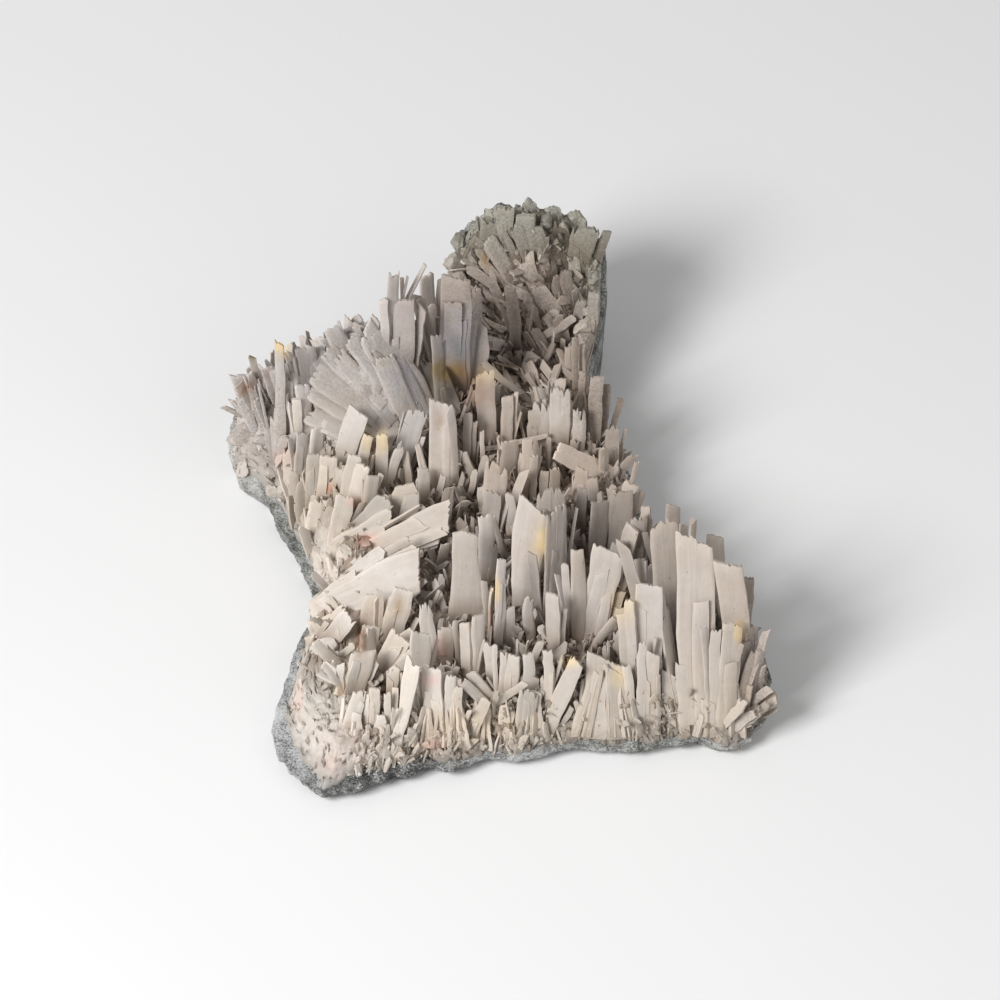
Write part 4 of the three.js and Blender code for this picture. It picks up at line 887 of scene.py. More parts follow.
def sheet_run(row):
    """Foot of a blade of the tables and the run from there to its tip."""
    foot_x, foot_s, tip_x, tip_s, lean = row[:5]
    foot = foot_on_crust(foot_x, foot_s)
    climb = SHEET_RISE * tip_s - foot[1] - foot[2]
    return foot, np.array([tip_x - foot_x, lean * climb, (1 - lean) * climb])


def buried_depth(foot):
    """How deep a blade's foot may go: less near the rim, where it would come out of the side."""
    return min(FOOT_DEPTH, 0.3 + 0.5 * max(0, float(inside_crust(foot[0], foot[1]))))


def sheet_blade(batch, rng, row, **shape):
    """The blade of one row; its shape may be changed by the looks of its table and by SPECIAL."""
    width, thickness, turn, slant = row[5:]
    foot, run = sheet_run(row)
    length = np.linalg.norm(run)
    shape = {**shape, **SPECIAL.get((row[2], row[3]), {})}
    shape["buried"] = shape.pop("sunk", buried_depth(foot))
    shape.setdefault("rise_from", paleness(foot, 0))
    if abs(run[0]) > abs(run[2]):
        shape["rise_from"] = LYING_RISE
    blade(batch, rng, foot, run / length, length, width, thickness * SLIMMING, turn, slant, **shape)


def on_sheet(points):
    """Place on the sheet, X and S, and nearness to its front, of points in millimetres."""
    points = np.atleast_2d(points)
    near = (points[:, 2] - points[:, 1]) / SHEET_RISE
    return points[:, 0], up_sheet(points), near


BESIDE = 0.2
BEHIND = 0.6


class Footprints:
    """Where the blades of the tables show on the sheet, so that small blades stay out of their way."""

    def __init__(self, rows):
        """Rows: pairs of a row of a table and the share of its blade that small growth may cover."""
        runs = [sheet_run(row) for row, _ in rows]
        feet = [foot for foot, _ in runs]
        tips = [foot + run for foot, run in runs]
        self.covered = np.array([covered for _, covered in rows])
        self.half = np.array([row[5] / 2 for row, _ in rows])
        fx, fs, fn = on_sheet(np.array(feet))
        tx, ts, tn = on_sheet(np.array(tips))
        self.start = np.stack([fx, fs], axis=1)
        self.run = np.stack([tx - fx, ts - fs], axis=1)
        self.near = fn
        self.near_gain = tn - fn
        self.length = np.linalg.norm(self.run, axis=1)

    def hides(self, point):
        """True where a point stands in front of a blade, above the share of it that may be covered."""
        x, s, near = on_sheet(point)
        offset = np.array([x[0], s[0]]) - self.start
        share = (offset * self.run).sum(axis=1) / self.length**2
        aside = np.abs(offset[:, 0] * self.run[:, 1] - offset[:, 1] * self.run[:, 0]) / self.length
        over = (share > self.covered) & (share < 1.0) & (aside < self.half + BESIDE)
        return bool(np.any(over & (near[0] > self.near + share * self.near_gain - BEHIND)))


NORMAL_STEP = 1.5


def crust_normal(x, y):
    dx = (crust_height(x + NORMAL_STEP, y) - crust_height(x - NORMAL_STEP, y)) / (2 * NORMAL_STEP)
    dy = (crust_height(x, y + NORMAL_STEP) - crust_height(x, y - NORMAL_STEP)) / (2 * NORMAL_STEP)
    normal = np.stack([-dx, -dy, np.ones_like(dx)], axis=1)
    return normal / np.linalg.norm(normal, axis=1)[:, None]


def jittered(rng, box, spacing, margin, keep):
    """Places on the crust with its normals, from a jittered grid over box: x low, x high, y low, y high."""
    x_low, x_high, y_low, y_high = box
    columns = int((x_high - x_low) / spacing)
    lines = int((y_high - y_low) / spacing)
    gx, gy = np.meshgrid(np.arange(columns), np.arange(lines))
    x = (x_low + (gx + rng.uniform(0, 1, gx.shape)) * spacing).ravel()
    y = (y_low + (gy + rng.uniform(0, 1, gy.shape)) * spacing).ravel()
    inside = inside_crust(x, y)
    wanted = (inside > margin) & keep(x, y, inside)
    x, y = x[wanted], y[wanted]
    return x, y, crust_height(x, y), crust_normal(x, y)


EDGE_PALENESS = 8
PALE_REACH = (2, 14)


def paleness(foot, pale):
    """Extra height given to growth so that it is paler near the edge of the crust, with less of the brown
    stain and painted shade of the roots.
    """
    return pale + EDGE_PALENESS * (1 - float(smooth_step(*PALE_REACH, inside_crust(foot[0], foot[1]))))


SHORTEST = 1.6
SHORTENED_BY = 1.2


def in_the_way(foot, along, reach, parts):
    """True where one of the parts of a small blade would stand in front of a large one."""
    return any(SHOWN.hides(foot + along * (reach * part)) for part in parts)


def small_blade(batch, rng, foot, along, reach, width, thickness, turn, shade, point, free=False, pale=1.5):
    """A thin blade, shortened until it stands in front of no large one, unless it is free to."""
    while not free and reach > SHORTEST and in_the_way(foot, along, reach, (0.55, 0.8, 1)):
        reach -= SHORTENED_BY
    if reach < SHORTEST:
        return
    across, facing = blade_axes(along, turn)
    plate(batch, rng, foot, along, across, facing, reach, width, thickness, ragged=0.7, strip=2.2,
          buried=1.6, shade=shade, row=2.6, foot_share=rng.uniform(0.45, 1.0), slant=rng.uniform(-1.1, 1.1),
          point=point, relief=0.25, rise_from=paleness(foot, pale))


def scatter(batch, rng, box, spacing, keep, pull, sway, length, width, thickness=(0.4, 0.9), turn=70,
            margin=0.6, tone=(0.9, 1.06), push=0.35, free=False, pale=1.5):
    """Small blades over a part of the crust."""
    for x, y, z, normal in zip(*jittered(rng, box, spacing, margin, keep)):
        along = unit(push * normal + np.array(pull) + sway * rng.standard_normal(3))
        if along[2] < 0.35:
            along = unit(along + np.array([0, 0, 0.45 - min(along[2], 0)]))
        size = rng.uniform(0, 1) ** 1.6
        reach = length[0] + (length[1] - length[0]) * size
        wide = rng.uniform(*width) * (0.6 + 0.6 * size)
        small_blade(batch, rng, np.array([x, y, z - 0.4]), along, reach, wide, rng.uniform(*thickness),
                    rng.uniform(-turn, turn), rng.uniform(*tone), rng.uniform(0, 1), free, pale)


FAN_BLADES = (4, 8)


def sprays(batch, rng, box, spacing, keep, pull, spread, length, width, tone):
    """Fans of small blades that spread from one place, roughly in the plane of the sheet."""
    for x, y, z, normal in zip(*jittered(rng, box, spacing, 0.8, keep)):
        foot = np.array([x, y, z - 0.8])
        middle = unit(0.3 * normal + np.array(pull) + 0.15 * rng.standard_normal(3))
        side = unit(np.cross(middle, TOWARDS_SHEET) + 0.25 * rng.standard_normal(3))
        reach = rng.uniform(*length)
        for fan in np.linspace(-1, 1, rng.integers(*FAN_BLADES)):
            angle = math.radians(spread) * (fan + rng.uniform(-0.15, 0.15))
            along = unit(middle * math.cos(angle) + side * math.sin(angle) + 0.08 * rng.standard_normal(3))
            grown = reach * rng.uniform(0.6, 1.1) * (1 - 0.25 * abs(fan))
            small_blade(batch, rng, foot + side * fan * 0.7, along, grown, rng.uniform(*width),
                        rng.uniform(0.5, 0.9), rng.uniform(-35, 35), rng.uniform(*tone), rng.uniform(0, 0.8))


def crumbs(batch, rng, box, spacing, keep, size, tone=(0.9, 1.1), detail=COARSE, margin=0.0, lift=0.0,
           pale=3.0, cuts=8):
    """Broken grains lying on the crust."""
    for x, y, z, normal in zip(*jittered(rng, box, spacing, margin, keep)):
        big = size[0] + (size[1] - size[0]) * rng.uniform(0, 1) ** 2
        shape = big * np.array([1, rng.uniform(0.5, 0.9), rng.uniform(0.35, 0.8)])
        rise = min(1.0, paleness((x, y), pale) / RISE_HEIGHT)
        place = np.array([x, y, z]) + normal * (lift * big)
        lump(batch, rng, place, shape, detail, rng.uniform(*tone), rise, cuts)


# ---------------------------------------------------------------- crust and rock
def ring_grid_faces(rings, count):
    """Quads between the rings of a body, wound to face outwards."""
    index = np.arange(rings * count).reshape(rings, count)
    nxt = np.roll(index, -1, axis=1)
    a, b, c, d = index[:-1], nxt[:-1], nxt[1:], index[1:]
    return np.stack([a.ravel(), b.ravel(), c.ravel(), d.ravel()], axis=1)


AROUND = 720
FRONT_ARC = (math.radians(-120), math.radians(-38))
FRONT_COLUMNS = 340


def ring_angles():
    """Angles round the slab, closer together along its front edge."""
    low, high = FRONT_ARC
    front = np.linspace(low, high, FRONT_COLUMNS, endpoint=False)
    rest = np.linspace(high, low + 2 * math.pi, AROUND - FRONT_COLUMNS, endpoint=False)
    return np.concatenate([front, rest])


def polar(reach, angles):
    return MIDDLE[0] + reach * np.cos(angles), MIDDLE[1] + reach * np.sin(angles)


PIT_NARROWNESS = 3.2


def pit_noise(points, size, seed):
    """Narrow pits from 0 to 1 where two smooth noises are both near nothing."""
    a = np.abs(value_noise(points, size, seed))
    b = np.abs(value_noise(points, size, seed + 9))
    return np.clip(1 - (a + b) * PIT_NARROWNESS, 0, 1)


def ring_points(rings):
    return np.concatenate([np.stack(ring, axis=1) for ring in rings])


def outward(points):
    """Level directions away from the middle of the slab."""
    away = points[:, :2] - MIDDLE
    return away / np.linalg.norm(away, axis=1)[:, None]


MIDDLE_HOLE = 0.004
CRUST_SUNK = 3.0
CRUST_FLOOR = (MIDDLE_HOLE, 0.5, 0.85)
BRIM = 0.994
# Rings of the crust's side: (share of the reach, drop); the first ones lie below its top.
CRUST_SIDE = (
    (0.985, 3.0), (0.995, 2.3), (1.0, 1.6), (1.004, 0.8), (1.003, 0.0), (0.999, -0.7), (BRIM, -1.3),
)
BELOW_TOP = 5
CRUST_TOP = np.concatenate([np.linspace(MIDDLE_HOLE, 0.68, 34), np.linspace(0.684, 0.99, 84)])[::-1]

# Places on the crust: [x, y, reach in x, reach in y]
BAND_GAP = (48.5, 11, 6, 8)
HOLLOW = (49.5, 10, 5, 6)
PALE_CORNER = (-44, 6, 10, 16)
MOUND = (-33, 103, 17, 15)


def crust_rings(edge, angles):
    """Rings of the crust: its floor in the rock, its side with an uneven skirt, and its top."""
    edge_x, edge_y = polar(edge, angles)
    along_edge = np.stack([edge_x, edge_y, np.zeros_like(edge_x)], axis=1)
    steps = 0.9 * value_noise(along_edge, 5.5, 19) + 0.5 * value_noise(along_edge, 1.8, 23)
    bare = smooth_step(-42, -37, edge_x) * smooth_step(-14, -20, edge_x) * (edge_y < 10)
    edge = edge + 0.8 * layered_noise(along_edge, 3.2, 3, 11) - 2.2 * bare + steps * (edge_y < 14)
    rings = []
    for share in CRUST_FLOOR:
        x, y = polar(share * edge, angles)
        rings.append((x, y, rock_height(x, y) - CRUST_SUNK))
    skirt = 1.5 + 0.9 * layered_noise(along_edge, 2.6, 3, 31)
    brim = rock_height(*polar(BRIM * edge, angles)) + 0.2
    for share, drop in CRUST_SIDE:
        x, y = polar(share * edge + 0.25 * value_noise(along_edge + drop, 1.1, 17), angles)
        rings.append((x, y, brim - drop * skirt * 0.62))
    for share in CRUST_TOP:
        x, y = polar(share * edge, angles)
        rings.append((x, y, crust_height(x, y)))
    return rings


def crust_piece(material):
    """The crust with lumps and pits; its front band is fluted like grown-together blades."""
    angles = ring_angles()
    reach, _, inset = rim_along(*polar(1, angles))
    rings = crust_rings(reach - inset, angles)
    points = ring_points(rings)
    x, y, z = points.T
    share = np.repeat([*CRUST_FLOOR, *(side_share for side_share, _ in CRUST_SIDE), *CRUST_TOP], AROUND)
    top = np.repeat(np.arange(len(rings)) >= len(CRUST_FLOOR) + BELOW_TOP, AROUND)
    lumps = 0.7 * layered_noise(points, 4.2, 2, 3) + 0.4 * value_noise(points, 1.5, 8)
    lumps = lumps + 0.4 * np.abs(value_noise(points, 0.9, 21))
    pits = pit_noise(points, 1.7, 40)
    side = (share > 0.9) & (share <= 1.01)
    z += np.where(top, lumps - 1.3 * pits, 0)
    flow = np.stack([x + 1.5 * value_noise(points, 7, 55), up_sheet(points) / 4.5, y / 40], axis=1)
    flutes = 1 - np.abs(value_noise(flow, 1.7, 52)) + 0.5 * (1 - np.abs(value_noise(flow, 0.8, 53)))
    in_front = smooth_step(38, 20, y) * smooth_step(-40, -30, x + 0.3 * y)
    in_band = in_front * smooth_step(0.2, 2.5, inside_crust(x, y)) * (1 - spot(x, y, *BAND_GAP))
    holes = in_band * top * np.maximum(pit_noise(points, 2.4, 47), 0.7 * pit_noise(points, 1.2, 49))
    raised = in_band * top * 2.9 * (flutes - 0.98) - 2.2 * holes - 2.2 * top * spot(x, y, *HOLLOW)
    points += raised[:, None] * TOWARDS_SHEET / SHEET_RISE
    rough = 0.35 * value_noise(points, 1.0, 60) + 0.45 * value_noise(points, 2.1, 61) - 0.8 * pits
    points[:, :2] += outward(points) * (rough * side)[:, None]
    z[:] = np.maximum(z, 0.4)
    depth = inside_crust(x, y)
    # Painted shade: the crust is darker in its pits, in the grooves between the front flutes, in its holes
    # and in the hollow of the back lobe.
    lobe = smooth_step(108, 116, y) * smooth_step(-12, -6, x) * smooth_step(5, 10, depth)
    shade = 1 - 0.5 * pits - 0.45 * in_band * np.clip(1.1 - flutes, 0, 1) - 0.5 * holes
    shade = shade * (1 - 0.26 * lobe)
    pale = np.maximum(spot(x, y, *PALE_CORNER), spot(x, y, *MOUND, power=4))
    # Low rise browns the crust with stain and painted shade: most well inside its edge, more along the front
    # band, least at the pale corner and on the mound.
    rise = 0.06 + (0.5 - 0.2 * in_front) * (1 - smooth_step(1, 8, depth)) + 0.6 * pale
    batch = Batch()
    batch.add(points, ring_grid_faces(len(rings), AROUND), points.copy(), shade, np.clip(rise, 0, 0.75))
    close_ends(batch, len(rings))
    batch.build("crust", material, crust_colour)


def close_ends(batch, rings):
    """Quads that close the small middle holes of a ring body's lower and upper end."""
    half = AROUND // 2
    i = np.arange(half - 1)
    low = np.stack([i, (AROUND - 1 - i) % AROUND, (AROUND - 2 - i) % AROUND, i + 1], axis=1)
    start = (rings - 1) * AROUND
    high = np.stack([i, i + 1, (AROUND - 2 - i) % AROUND, (AROUND - 1 - i) % AROUND], axis=1) + start
    batch.faces.extend([low, high])


UNDERSIDE_SHARES = [MIDDLE_HOLE, *np.linspace(0.06, 0.93, 22)]
WALL_CLIMBS = np.linspace(0, 1, 16)
ROCK_TOP = np.concatenate([np.linspace(0.985, 0.86, 22), np.linspace(0.84, MIDDLE_HOLE, 24)])
LAST_FLAT_RING = len(UNDERSIDE_SHARES)
FIRST_LUMPY_RING = LAST_FLAT_RING + 4
LAST_CRAGGY_RING = 61


def rock_piece(material):
    """The rock: a flat underside, a side that bulges a little and has crags, and a lumpy top."""
    angles = ring_angles()
    reach, height, _ = rim_along(*polar(1, angles))
    rim_x, rim_y = polar(reach, angles)
    line = np.stack([rim_x, rim_y, np.zeros_like(rim_x)], axis=1)
    reach = reach + 0.8 * layered_noise(line, 4.5, 3, 101)
    rings = []
    for share in UNDERSIDE_SHARES:
        x, y = polar(share * reach, angles)
        rings.append((x, y, np.zeros_like(x)))
    brim = rock_height(*polar(0.985 * reach, angles))
    for climb in WALL_CLIMBS:
        bulge = 0.955 + 0.044 * math.sin(math.pi * min(1, climb * 1.1) * 0.5)
        x, y = polar(bulge * reach, angles)
        rings.append((x, y, climb * brim))
    for share in ROCK_TOP:
        x, y = polar(share * reach, angles)
        rings.append((x, y, rock_height(x, y)))
    points = ring_points(rings)
    ring_number = np.repeat(np.arange(len(rings)), AROUND)
    underside = ring_number <= LAST_FLAT_RING
    wall = ~underside & (ring_number <= LAST_CRAGGY_RING)
    tall_wall = smooth_step(20, 34, np.tile(height, len(rings)))
    lumps = 0.5 * layered_noise(points, 3.0, 3, 71) + 0.35 * np.abs(value_noise(points, 1.3, 75))
    ledges = 1.5 * value_noise(points, 9, 83) + 0.9 * np.abs(value_noise(points, 4.5, 87))
    crags = lumps + 0.35 * value_noise(points, 0.9, 79) + ledges * tall_wall
    points[:, :2] += outward(points) * (crags * 1.1 * wall)[:, None]
    points[:, 2] += np.where(ring_number >= FIRST_LUMPY_RING, lumps * 0.6, 0)
    dents = 0.25 * np.abs(value_noise(points, 3.0, 88))
    points[:, 2] = np.where(underside, dents, np.maximum(points[:, 2], 0.1))
    batch = Batch()
    batch.add(points, ring_grid_faces(len(rings), AROUND), points.copy(), 1.0, 0.5)
    close_ends(batch, len(rings))
    batch.build("matrix_rock", material, rock_colour, "matrix")


DARK_ROCK = srgb(96, 96, 95)
PALE_ROCK = srgb(194, 195, 196)
GREEN_ROCK = srgb(134, 135, 131)
WARM_ROCK = srgb(198, 194, 188)

ROCK_WEIGHT = 0.4

# Tone of the rock by place: [X, S, reach in X, reach in S, colour, strength]
ROCK_REGIONS = [
    (-27, 0, 16, 6, DARK_ROCK, 5.0), (-45, -3, 10, 4, GREEN_ROCK, 1.5), (-54, 14, 6, 14, PALE_ROCK, 2.5),
    (-48, 52, 6, 16, GREEN_ROCK, 1.5), (20, 6, 40, 4, GREEN_ROCK, 1.5), (-66, 86, 6, 14, WARM_ROCK, 2.5),
    (66, 24, 6, 16, GREEN_ROCK, 1.2), (62, 10, 8, 6, WARM_ROCK, 2.0), (8, 5, 14, 4, PALE_ROCK, 2.0),
    (-50, 2, 5, 6, PALE_ROCK, 1.5),
]


def rock_colour(points):
    patches = 0.92 + 0.2 * value_noise(points, 6, 93) + 0.12 * value_noise(points, 2.2, 94)
    return patches[:, None] * blended(points, ROCK_REGIONS, GREEN_ROCK, ROCK_WEIGHT)


RIM_GREY = srgb(160, 157, 153)


def crust_colour(points):
    """Colour of the crust, which goes over to grey where it thins out on the rock."""
    depth = inside_crust(points[:, 0], points[:, 1]) + 1.3 * value_noise(points, 2.6, 91)
    grey = 0.75 * (1 - smooth_step(0.1, 3.0, depth)) * (1 - smooth_step(90, 110, points[:, 1]))
    colour = place_colour(points)
    return colour + (RIM_GREY - colour) * grey[:, None]


# ---------------------------------------------------------------- materials
WARM_DUST = srgb(238, 222, 200)
# Brown of the roots: partly stain, partly painted shade between the blades.
ROOT_STAIN_AND_SHADE = srgb(182, 169, 157)
LATH_CREAM = srgb(242, 230, 212)
SPECK_BROWN = srgb(150, 128, 110)
GRAIN_GREY = srgb(196, 186, 176)
MILKY_FLECK = srgb(222, 224, 224)
DARK_GRAIN = srgb(110, 109, 108)


class Look:
    """A material and its nodes; each maker gives the socket that its result comes out of."""

    def __init__(self, name):
        self.material = bpy.data.materials.new(name)
        self.material.use_nodes = True
        self.tree = self.material.node_tree
        self.shader = self.tree.nodes["Principled BSDF"]
        self.put("Metallic", 0.0)
        self.put("Specular IOR Level", 0.3)

    def feed(self, socket, value):
        """Give an input a colour, a number or the output of another node."""
        if isinstance(value, bpy.types.NodeSocket):
            self.tree.links.new(value, socket)
        elif isinstance(value, np.ndarray):
            socket.default_value = (*[float(part) for part in value], 1.0)
        else:
            socket.default_value = value

    def put(self, place, value):
        self.feed(self.shader.inputs[place], value)

    def node(self, kind, inputs, output=0, **settings):
        node = self.tree.nodes.new(f"ShaderNode{kind}")
        for setting, value in settings.items():
            setattr(node, setting, value)
        for place, value in inputs.items():
            self.feed(node.inputs[place], value)
        return node.outputs[output]

    def attribute(self, name, output):
        return self.node("Attribute", {}, output, attribute_name=name)

    def place(self):
        return self.node("NewGeometry", {}, "Position")

    def calc(self, operation, *values):
        return self.node("Math", dict(enumerate(values)), operation=operation)

    def noise(self, vector, scale, detail, roughness=0.55):
        """Noise whose scale is one number or three, one for each direction."""
        scales = scale if isinstance(scale, tuple) else (scale, scale, scale)
        vector = self.node("Mapping", {"Scale": scales, "Vector": vector}, "Vector")
        return self.node("TexNoise", {"Scale": 1.0, "Detail": detail, "Roughness": roughness,
                                      "Vector": vector})

    def span(self, value, low, high, to_low, to_high):
        return self.node("MapRange", {"From Min": low, "From Max": high, "To Min": to_low, "To Max": to_high,
                                      "Value": value})

    def mixed(self, factor, first, second, kind="MULTIPLY"):
        return self.node("Mix", {0: factor, 6: first, 7: second}, 2, data_type="RGBA", blend_type=kind)

    def bump(self, height, strength, distance):
        normal = self.node("Bump", {"Strength": strength, "Distance": distance, "Height": height}, "Normal")
        self.put("Normal", normal)


def quartz_material():
    """Chalky quartz: fine striations along each lath, dusty mottling, roots browned with stain and painted
    shade, and small specks.
    """
    look = Look("chalky_quartz")
    tint = look.attribute("tint", "Color")
    lath = look.attribute("lath", "Vector")
    rise = look.attribute("rise", "Fac")
    place = look.place()
    streak = look.noise(lath, (2.6, 0.10, 1), 4)
    fine = look.noise(lath, (7.0, 0.35, 1), 2)
    dust = look.noise(place, 420, 5, 0.62)
    sugar = look.noise(place, 1500, 3, 0.6)
    sugary = look.attribute("tint", "Alpha")
    patch = look.noise(place, 110, 3)
    shade = look.calc("MULTIPLY", look.span(streak, 0.3, 0.7, 0.96, 1.03),
                      look.span(dust, 0.3, 0.7, 0.94, 1.04))
    base = look.mixed(1.0, tint, look.node("CombineColor", {0: shade, 1: shade, 2: shade}))
    base = look.mixed(look.span(patch, 0.52, 0.75, 0, 0.3), base, WARM_DUST)
    # Roots browned by rise: stain and painted shade together.
    base = look.mixed(look.span(rise, 0.0, 0.6, 0.9, 0.0), base, ROOT_STAIN_AND_SHADE)
    own_number = look.node("SeparateXYZ", {0: lath}, 2)
    own_shade = look.node("TexWhiteNoise", {"W": own_number}, "Value", noise_dimensions="1D")
    base = look.mixed(look.span(own_shade, 0, 1, 0.0, 0.4), base, LATH_CREAM)
    specks = look.noise(place, 900, 2, 0.5)
    base = look.mixed(look.span(specks, 0.70, 0.78, 0, 0.5), base, SPECK_BROWN)
    grains = look.calc("MULTIPLY", look.span(sugar, 0.40, 0.56, 0.5, 0.0), sugary)
    base = look.mixed(grains, base, GRAIN_GREY)
    look.put("Base Color", base)
    look.put("Roughness", look.span(dust, 0.3, 0.7, 0.62, 0.82))
    height = look.calc("MULTIPLY_ADD", streak, 0.35, dust)
    height = look.calc("ADD", height, look.calc("MULTIPLY", sugar, look.calc("MULTIPLY", sugary, 2.4)))
    height = look.calc("ADD", height, look.calc("MULTIPLY", fine, 0.5))
    look.bump(height, strength=0.45, distance=0.00028)
    return look.material


def rock_material():
    """Speckled host rock: dark grains in a pale grey-green body, with a few milky quartz flecks."""
    look = Look("speckled_rock")
    tint = look.attribute("tint", "Color")
    place = look.place()
    grain = look.noise(place, 2300, 3, 0.6)
    mottle = look.noise(place, 240, 4, 0.65)
    level = look.calc("ADD", grain, look.calc("MULTIPLY", mottle, 0.75))
    base = look.mixed(look.span(level, 0.9, 1.06, 0.0, 0.55), tint, MILKY_FLECK, "MIX")
    base = look.mixed(look.span(level, 0.73, 0.86, 0.8, 0.0), base, DARK_GRAIN)
    look.put("Base Color", base)
    look.put("Roughness", look.span(mottle, 0.3, 0.7, 0.85, 0.6))
    look.bump(look.calc("ADD", grain, mottle), strength=0.8, distance=0.0004)
    return look.material


# Pieces of large blades: name, table, the share of each blade that small growth may cover, and what its
# blades share of their looks; a pair of numbers there stands for a random one between them.
TABLES = (
    ("blades_right", RIGHT_STAND, 0.1, {}),
    ("blades_middle", MIDDLE_STAND, 0.1, {}),
    ("blades_centre", CENTRE, 0.12, {}),
    ("blades_front", FRONT_FANS, 0.2, dict(rise_from=5)),
    ("blades_left", LEFT_SLOPE, 0.12, {}),
    ("blades_rear", MIDDLE_BACK, 0.15, {}),
    ("mound_sheets", MOUND_SHEETS, 0.1, whole(rise_from=8, ragged=0.8, chip=0.25, point=0.1, foot_share=1.0,
                                              shade=(0.84, 1.12), turn_by=(10, 22))),
    ("lobe_left", LEFT_LOBE, 0.45, dict(rise_from=6)),
    ("tall_stand", TALL_BEHIND_MOUND, 0.15, {}),
    ("lobe_back", BACK_LOBE, 0.5, dict(rise_from=3, chip=0.2)),
    ("needles", NEEDLES, 0.2, {}),
    ("left_laths", LEFT_LATHS, 0.05, dict(extras=False, rise_from=8, strip=5, ragged=0.6, shade=(1.0, 1.1))),
)
BUTTRESS_COVER = 0.15
SHOWN = Footprints([(row, covered) for _, table, covered, _ in TABLES for row in table]
                   + [(row, BUTTRESS_COVER) for row in BUTTRESSES])
QUARTZ = quartz_material()

rock_piece(rock_material())
crust_piece(QUARTZ)


def dressing(name, seed, *zones):
    """One piece of quartz: each zone names the maker it goes to and its figures."""
    rng = np.random.default_rng(seed)
    batch = Batch()
    for maker, figures in zones:
        maker(batch, rng, **figures)
    batch.build(name, QUARTZ)


def drawn(rng, looks):
    """The looks with a random number in place of each pair."""
    return {key: rng.uniform(*value) if isinstance(value, tuple) else value for key, value in looks.items()}


def stand(batch, rng, table, looks):
    """All blades of a table."""
    for row in table:
        sheet_blade(batch, rng, row, **drawn(rng, looks))


def swelling(batch, rng, row):
    x, s, size = row
    place = foot_on_crust(x, s) + np.array([0, 0, 0.8])
    lump(batch, rng, place, size * np.array([1.0, 0.85, 0.6]), FINE, rng.uniform(0.98, 1.05), 0.7, cuts=4)


for number, (name, table, _, looks) in enumerate(TABLES):
    dressing(name, number + 1, (stand, dict(table=table, looks=looks)))
dressing("buttresses", 60, *[(buttress, dict(row=row)) for row in BUTTRESSES])
dressing("swellings", 61, *[(swelling, dict(row=row)) for row in SWELLINGS])


def on_mound(x, y):
    return ((x + 34) / 18) ** 2 + ((y - 104) / 16) ** 2 < 1


# Parts of the crust for the growth on it, from x, y and the depth inside the edge of the crust
def near_edge(limit):
    return lambda x, y, d: d < limit


def off_edge(limit):
    return lambda x, y, d: d > limit


def front_band(x, y, depth):
    return (depth < 10) & (y < 30) & ((x > -36) | (y > 16))


def left_band(x, y, depth):
    inner = (x < -26 - 0.12 * (y - 60)) & ~on_mound(x, y) & (y < 100)
    return inner & ((x > -42.5) | (y > 60)) & ((y > 50) | (x > -34) & (y > 24))


def middle_field(x, y, depth):
    return (x > -27 - 0.12 * (y - 60)) & (depth > 2 + 4 * (x > 50)) & ~on_mound(x, y)


def straw_field(x, y, depth):
    return (x < -30) & (x > -43) & (y > 17) & (y < 56) & (depth > 5)


dressing(
    "small_front", 21,
    (sprays, dict(box=(-38, 66, -6, 24), spacing=3.6, keep=front_band, pull=(0, 0.05, 0.8), spread=26,
                  length=(3.5, 9), width=(0.8, 2.2), tone=(0.8, 0.98))),
    (straw, dict(box=(-40, 67, -8, 28), spacing=1.5, keep=front_band, heading=92, spread=18,
                 length=(2.5, 7.5), width=(0.6, 1.9), thickness=(0.5, 1.2), lift=(0.2, 0.9), tilt=75,
                 above=(-0.9, 0.1), tone=(0.82, 1.0))),
    (scatter, dict(box=(-40, 68, -8, 26), spacing=2.8, keep=front_band, pull=(0, 0.1, 0.8), sway=0.35,
                   length=(1.6, 5), width=(0.4, 1.2), margin=0.2, push=0.2, tone=(0.8, 1.0))),
    (scatter, dict(box=(-52, -28, -10, 26), spacing=4.5, keep=off_edge(5), pull=(0, 0.15, 0.6), sway=0.4,
                   length=(1.6, 4), width=(0.4, 0.9), free=True)),
)
dressing(
    "crumbs_front", 31,
    (crumbs, dict(box=(-50, 68, -12, 26), spacing=1.05, keep=lambda x, y, d: (d < 8) & (x > -36),
                  size=(0.3, 1.5), margin=-0.4, lift=-0.1, tone=(0.8, 1.08))),
    (crumbs, dict(box=(-54, -30, -12, 26), spacing=2.4, keep=off_edge(0), size=(0.3, 0.8), lift=-0.15)),
)
dressing(
    "straw_left", 41,
    (straw, dict(box=(-58, -28, 14, 58), spacing=2.7, keep=straw_field, heading=125, spread=30,
                 length=(4, 10), width=(0.7, 2.2))),
    (straw, dict(box=(-58, -28, 32, 64), spacing=4.6, keep=lambda x, y, d: (x < -28) & (d > 6), heading=28,
                 spread=14, length=(8, 14), width=(2, 5), above=(0.3, 1.4))),
    (crumbs, dict(box=(-60, -34, 12, 60), spacing=1.7, keep=near_edge(8), size=(0.3, 1.2))),
)
dressing(
    "small_left", 22,
    (scatter, dict(box=(-58, -24, 18, 104), spacing=1.9, keep=left_band, pull=(0.1, 0.42, 0.7), sway=0.24,
                   length=(3, 11), width=(0.7, 2.6), turn=50, push=0.15)),
    (crumbs, dict(box=(-58, -40, 50, 100), spacing=1.5, keep=near_edge(6), size=(0.4, 1.6))),
)
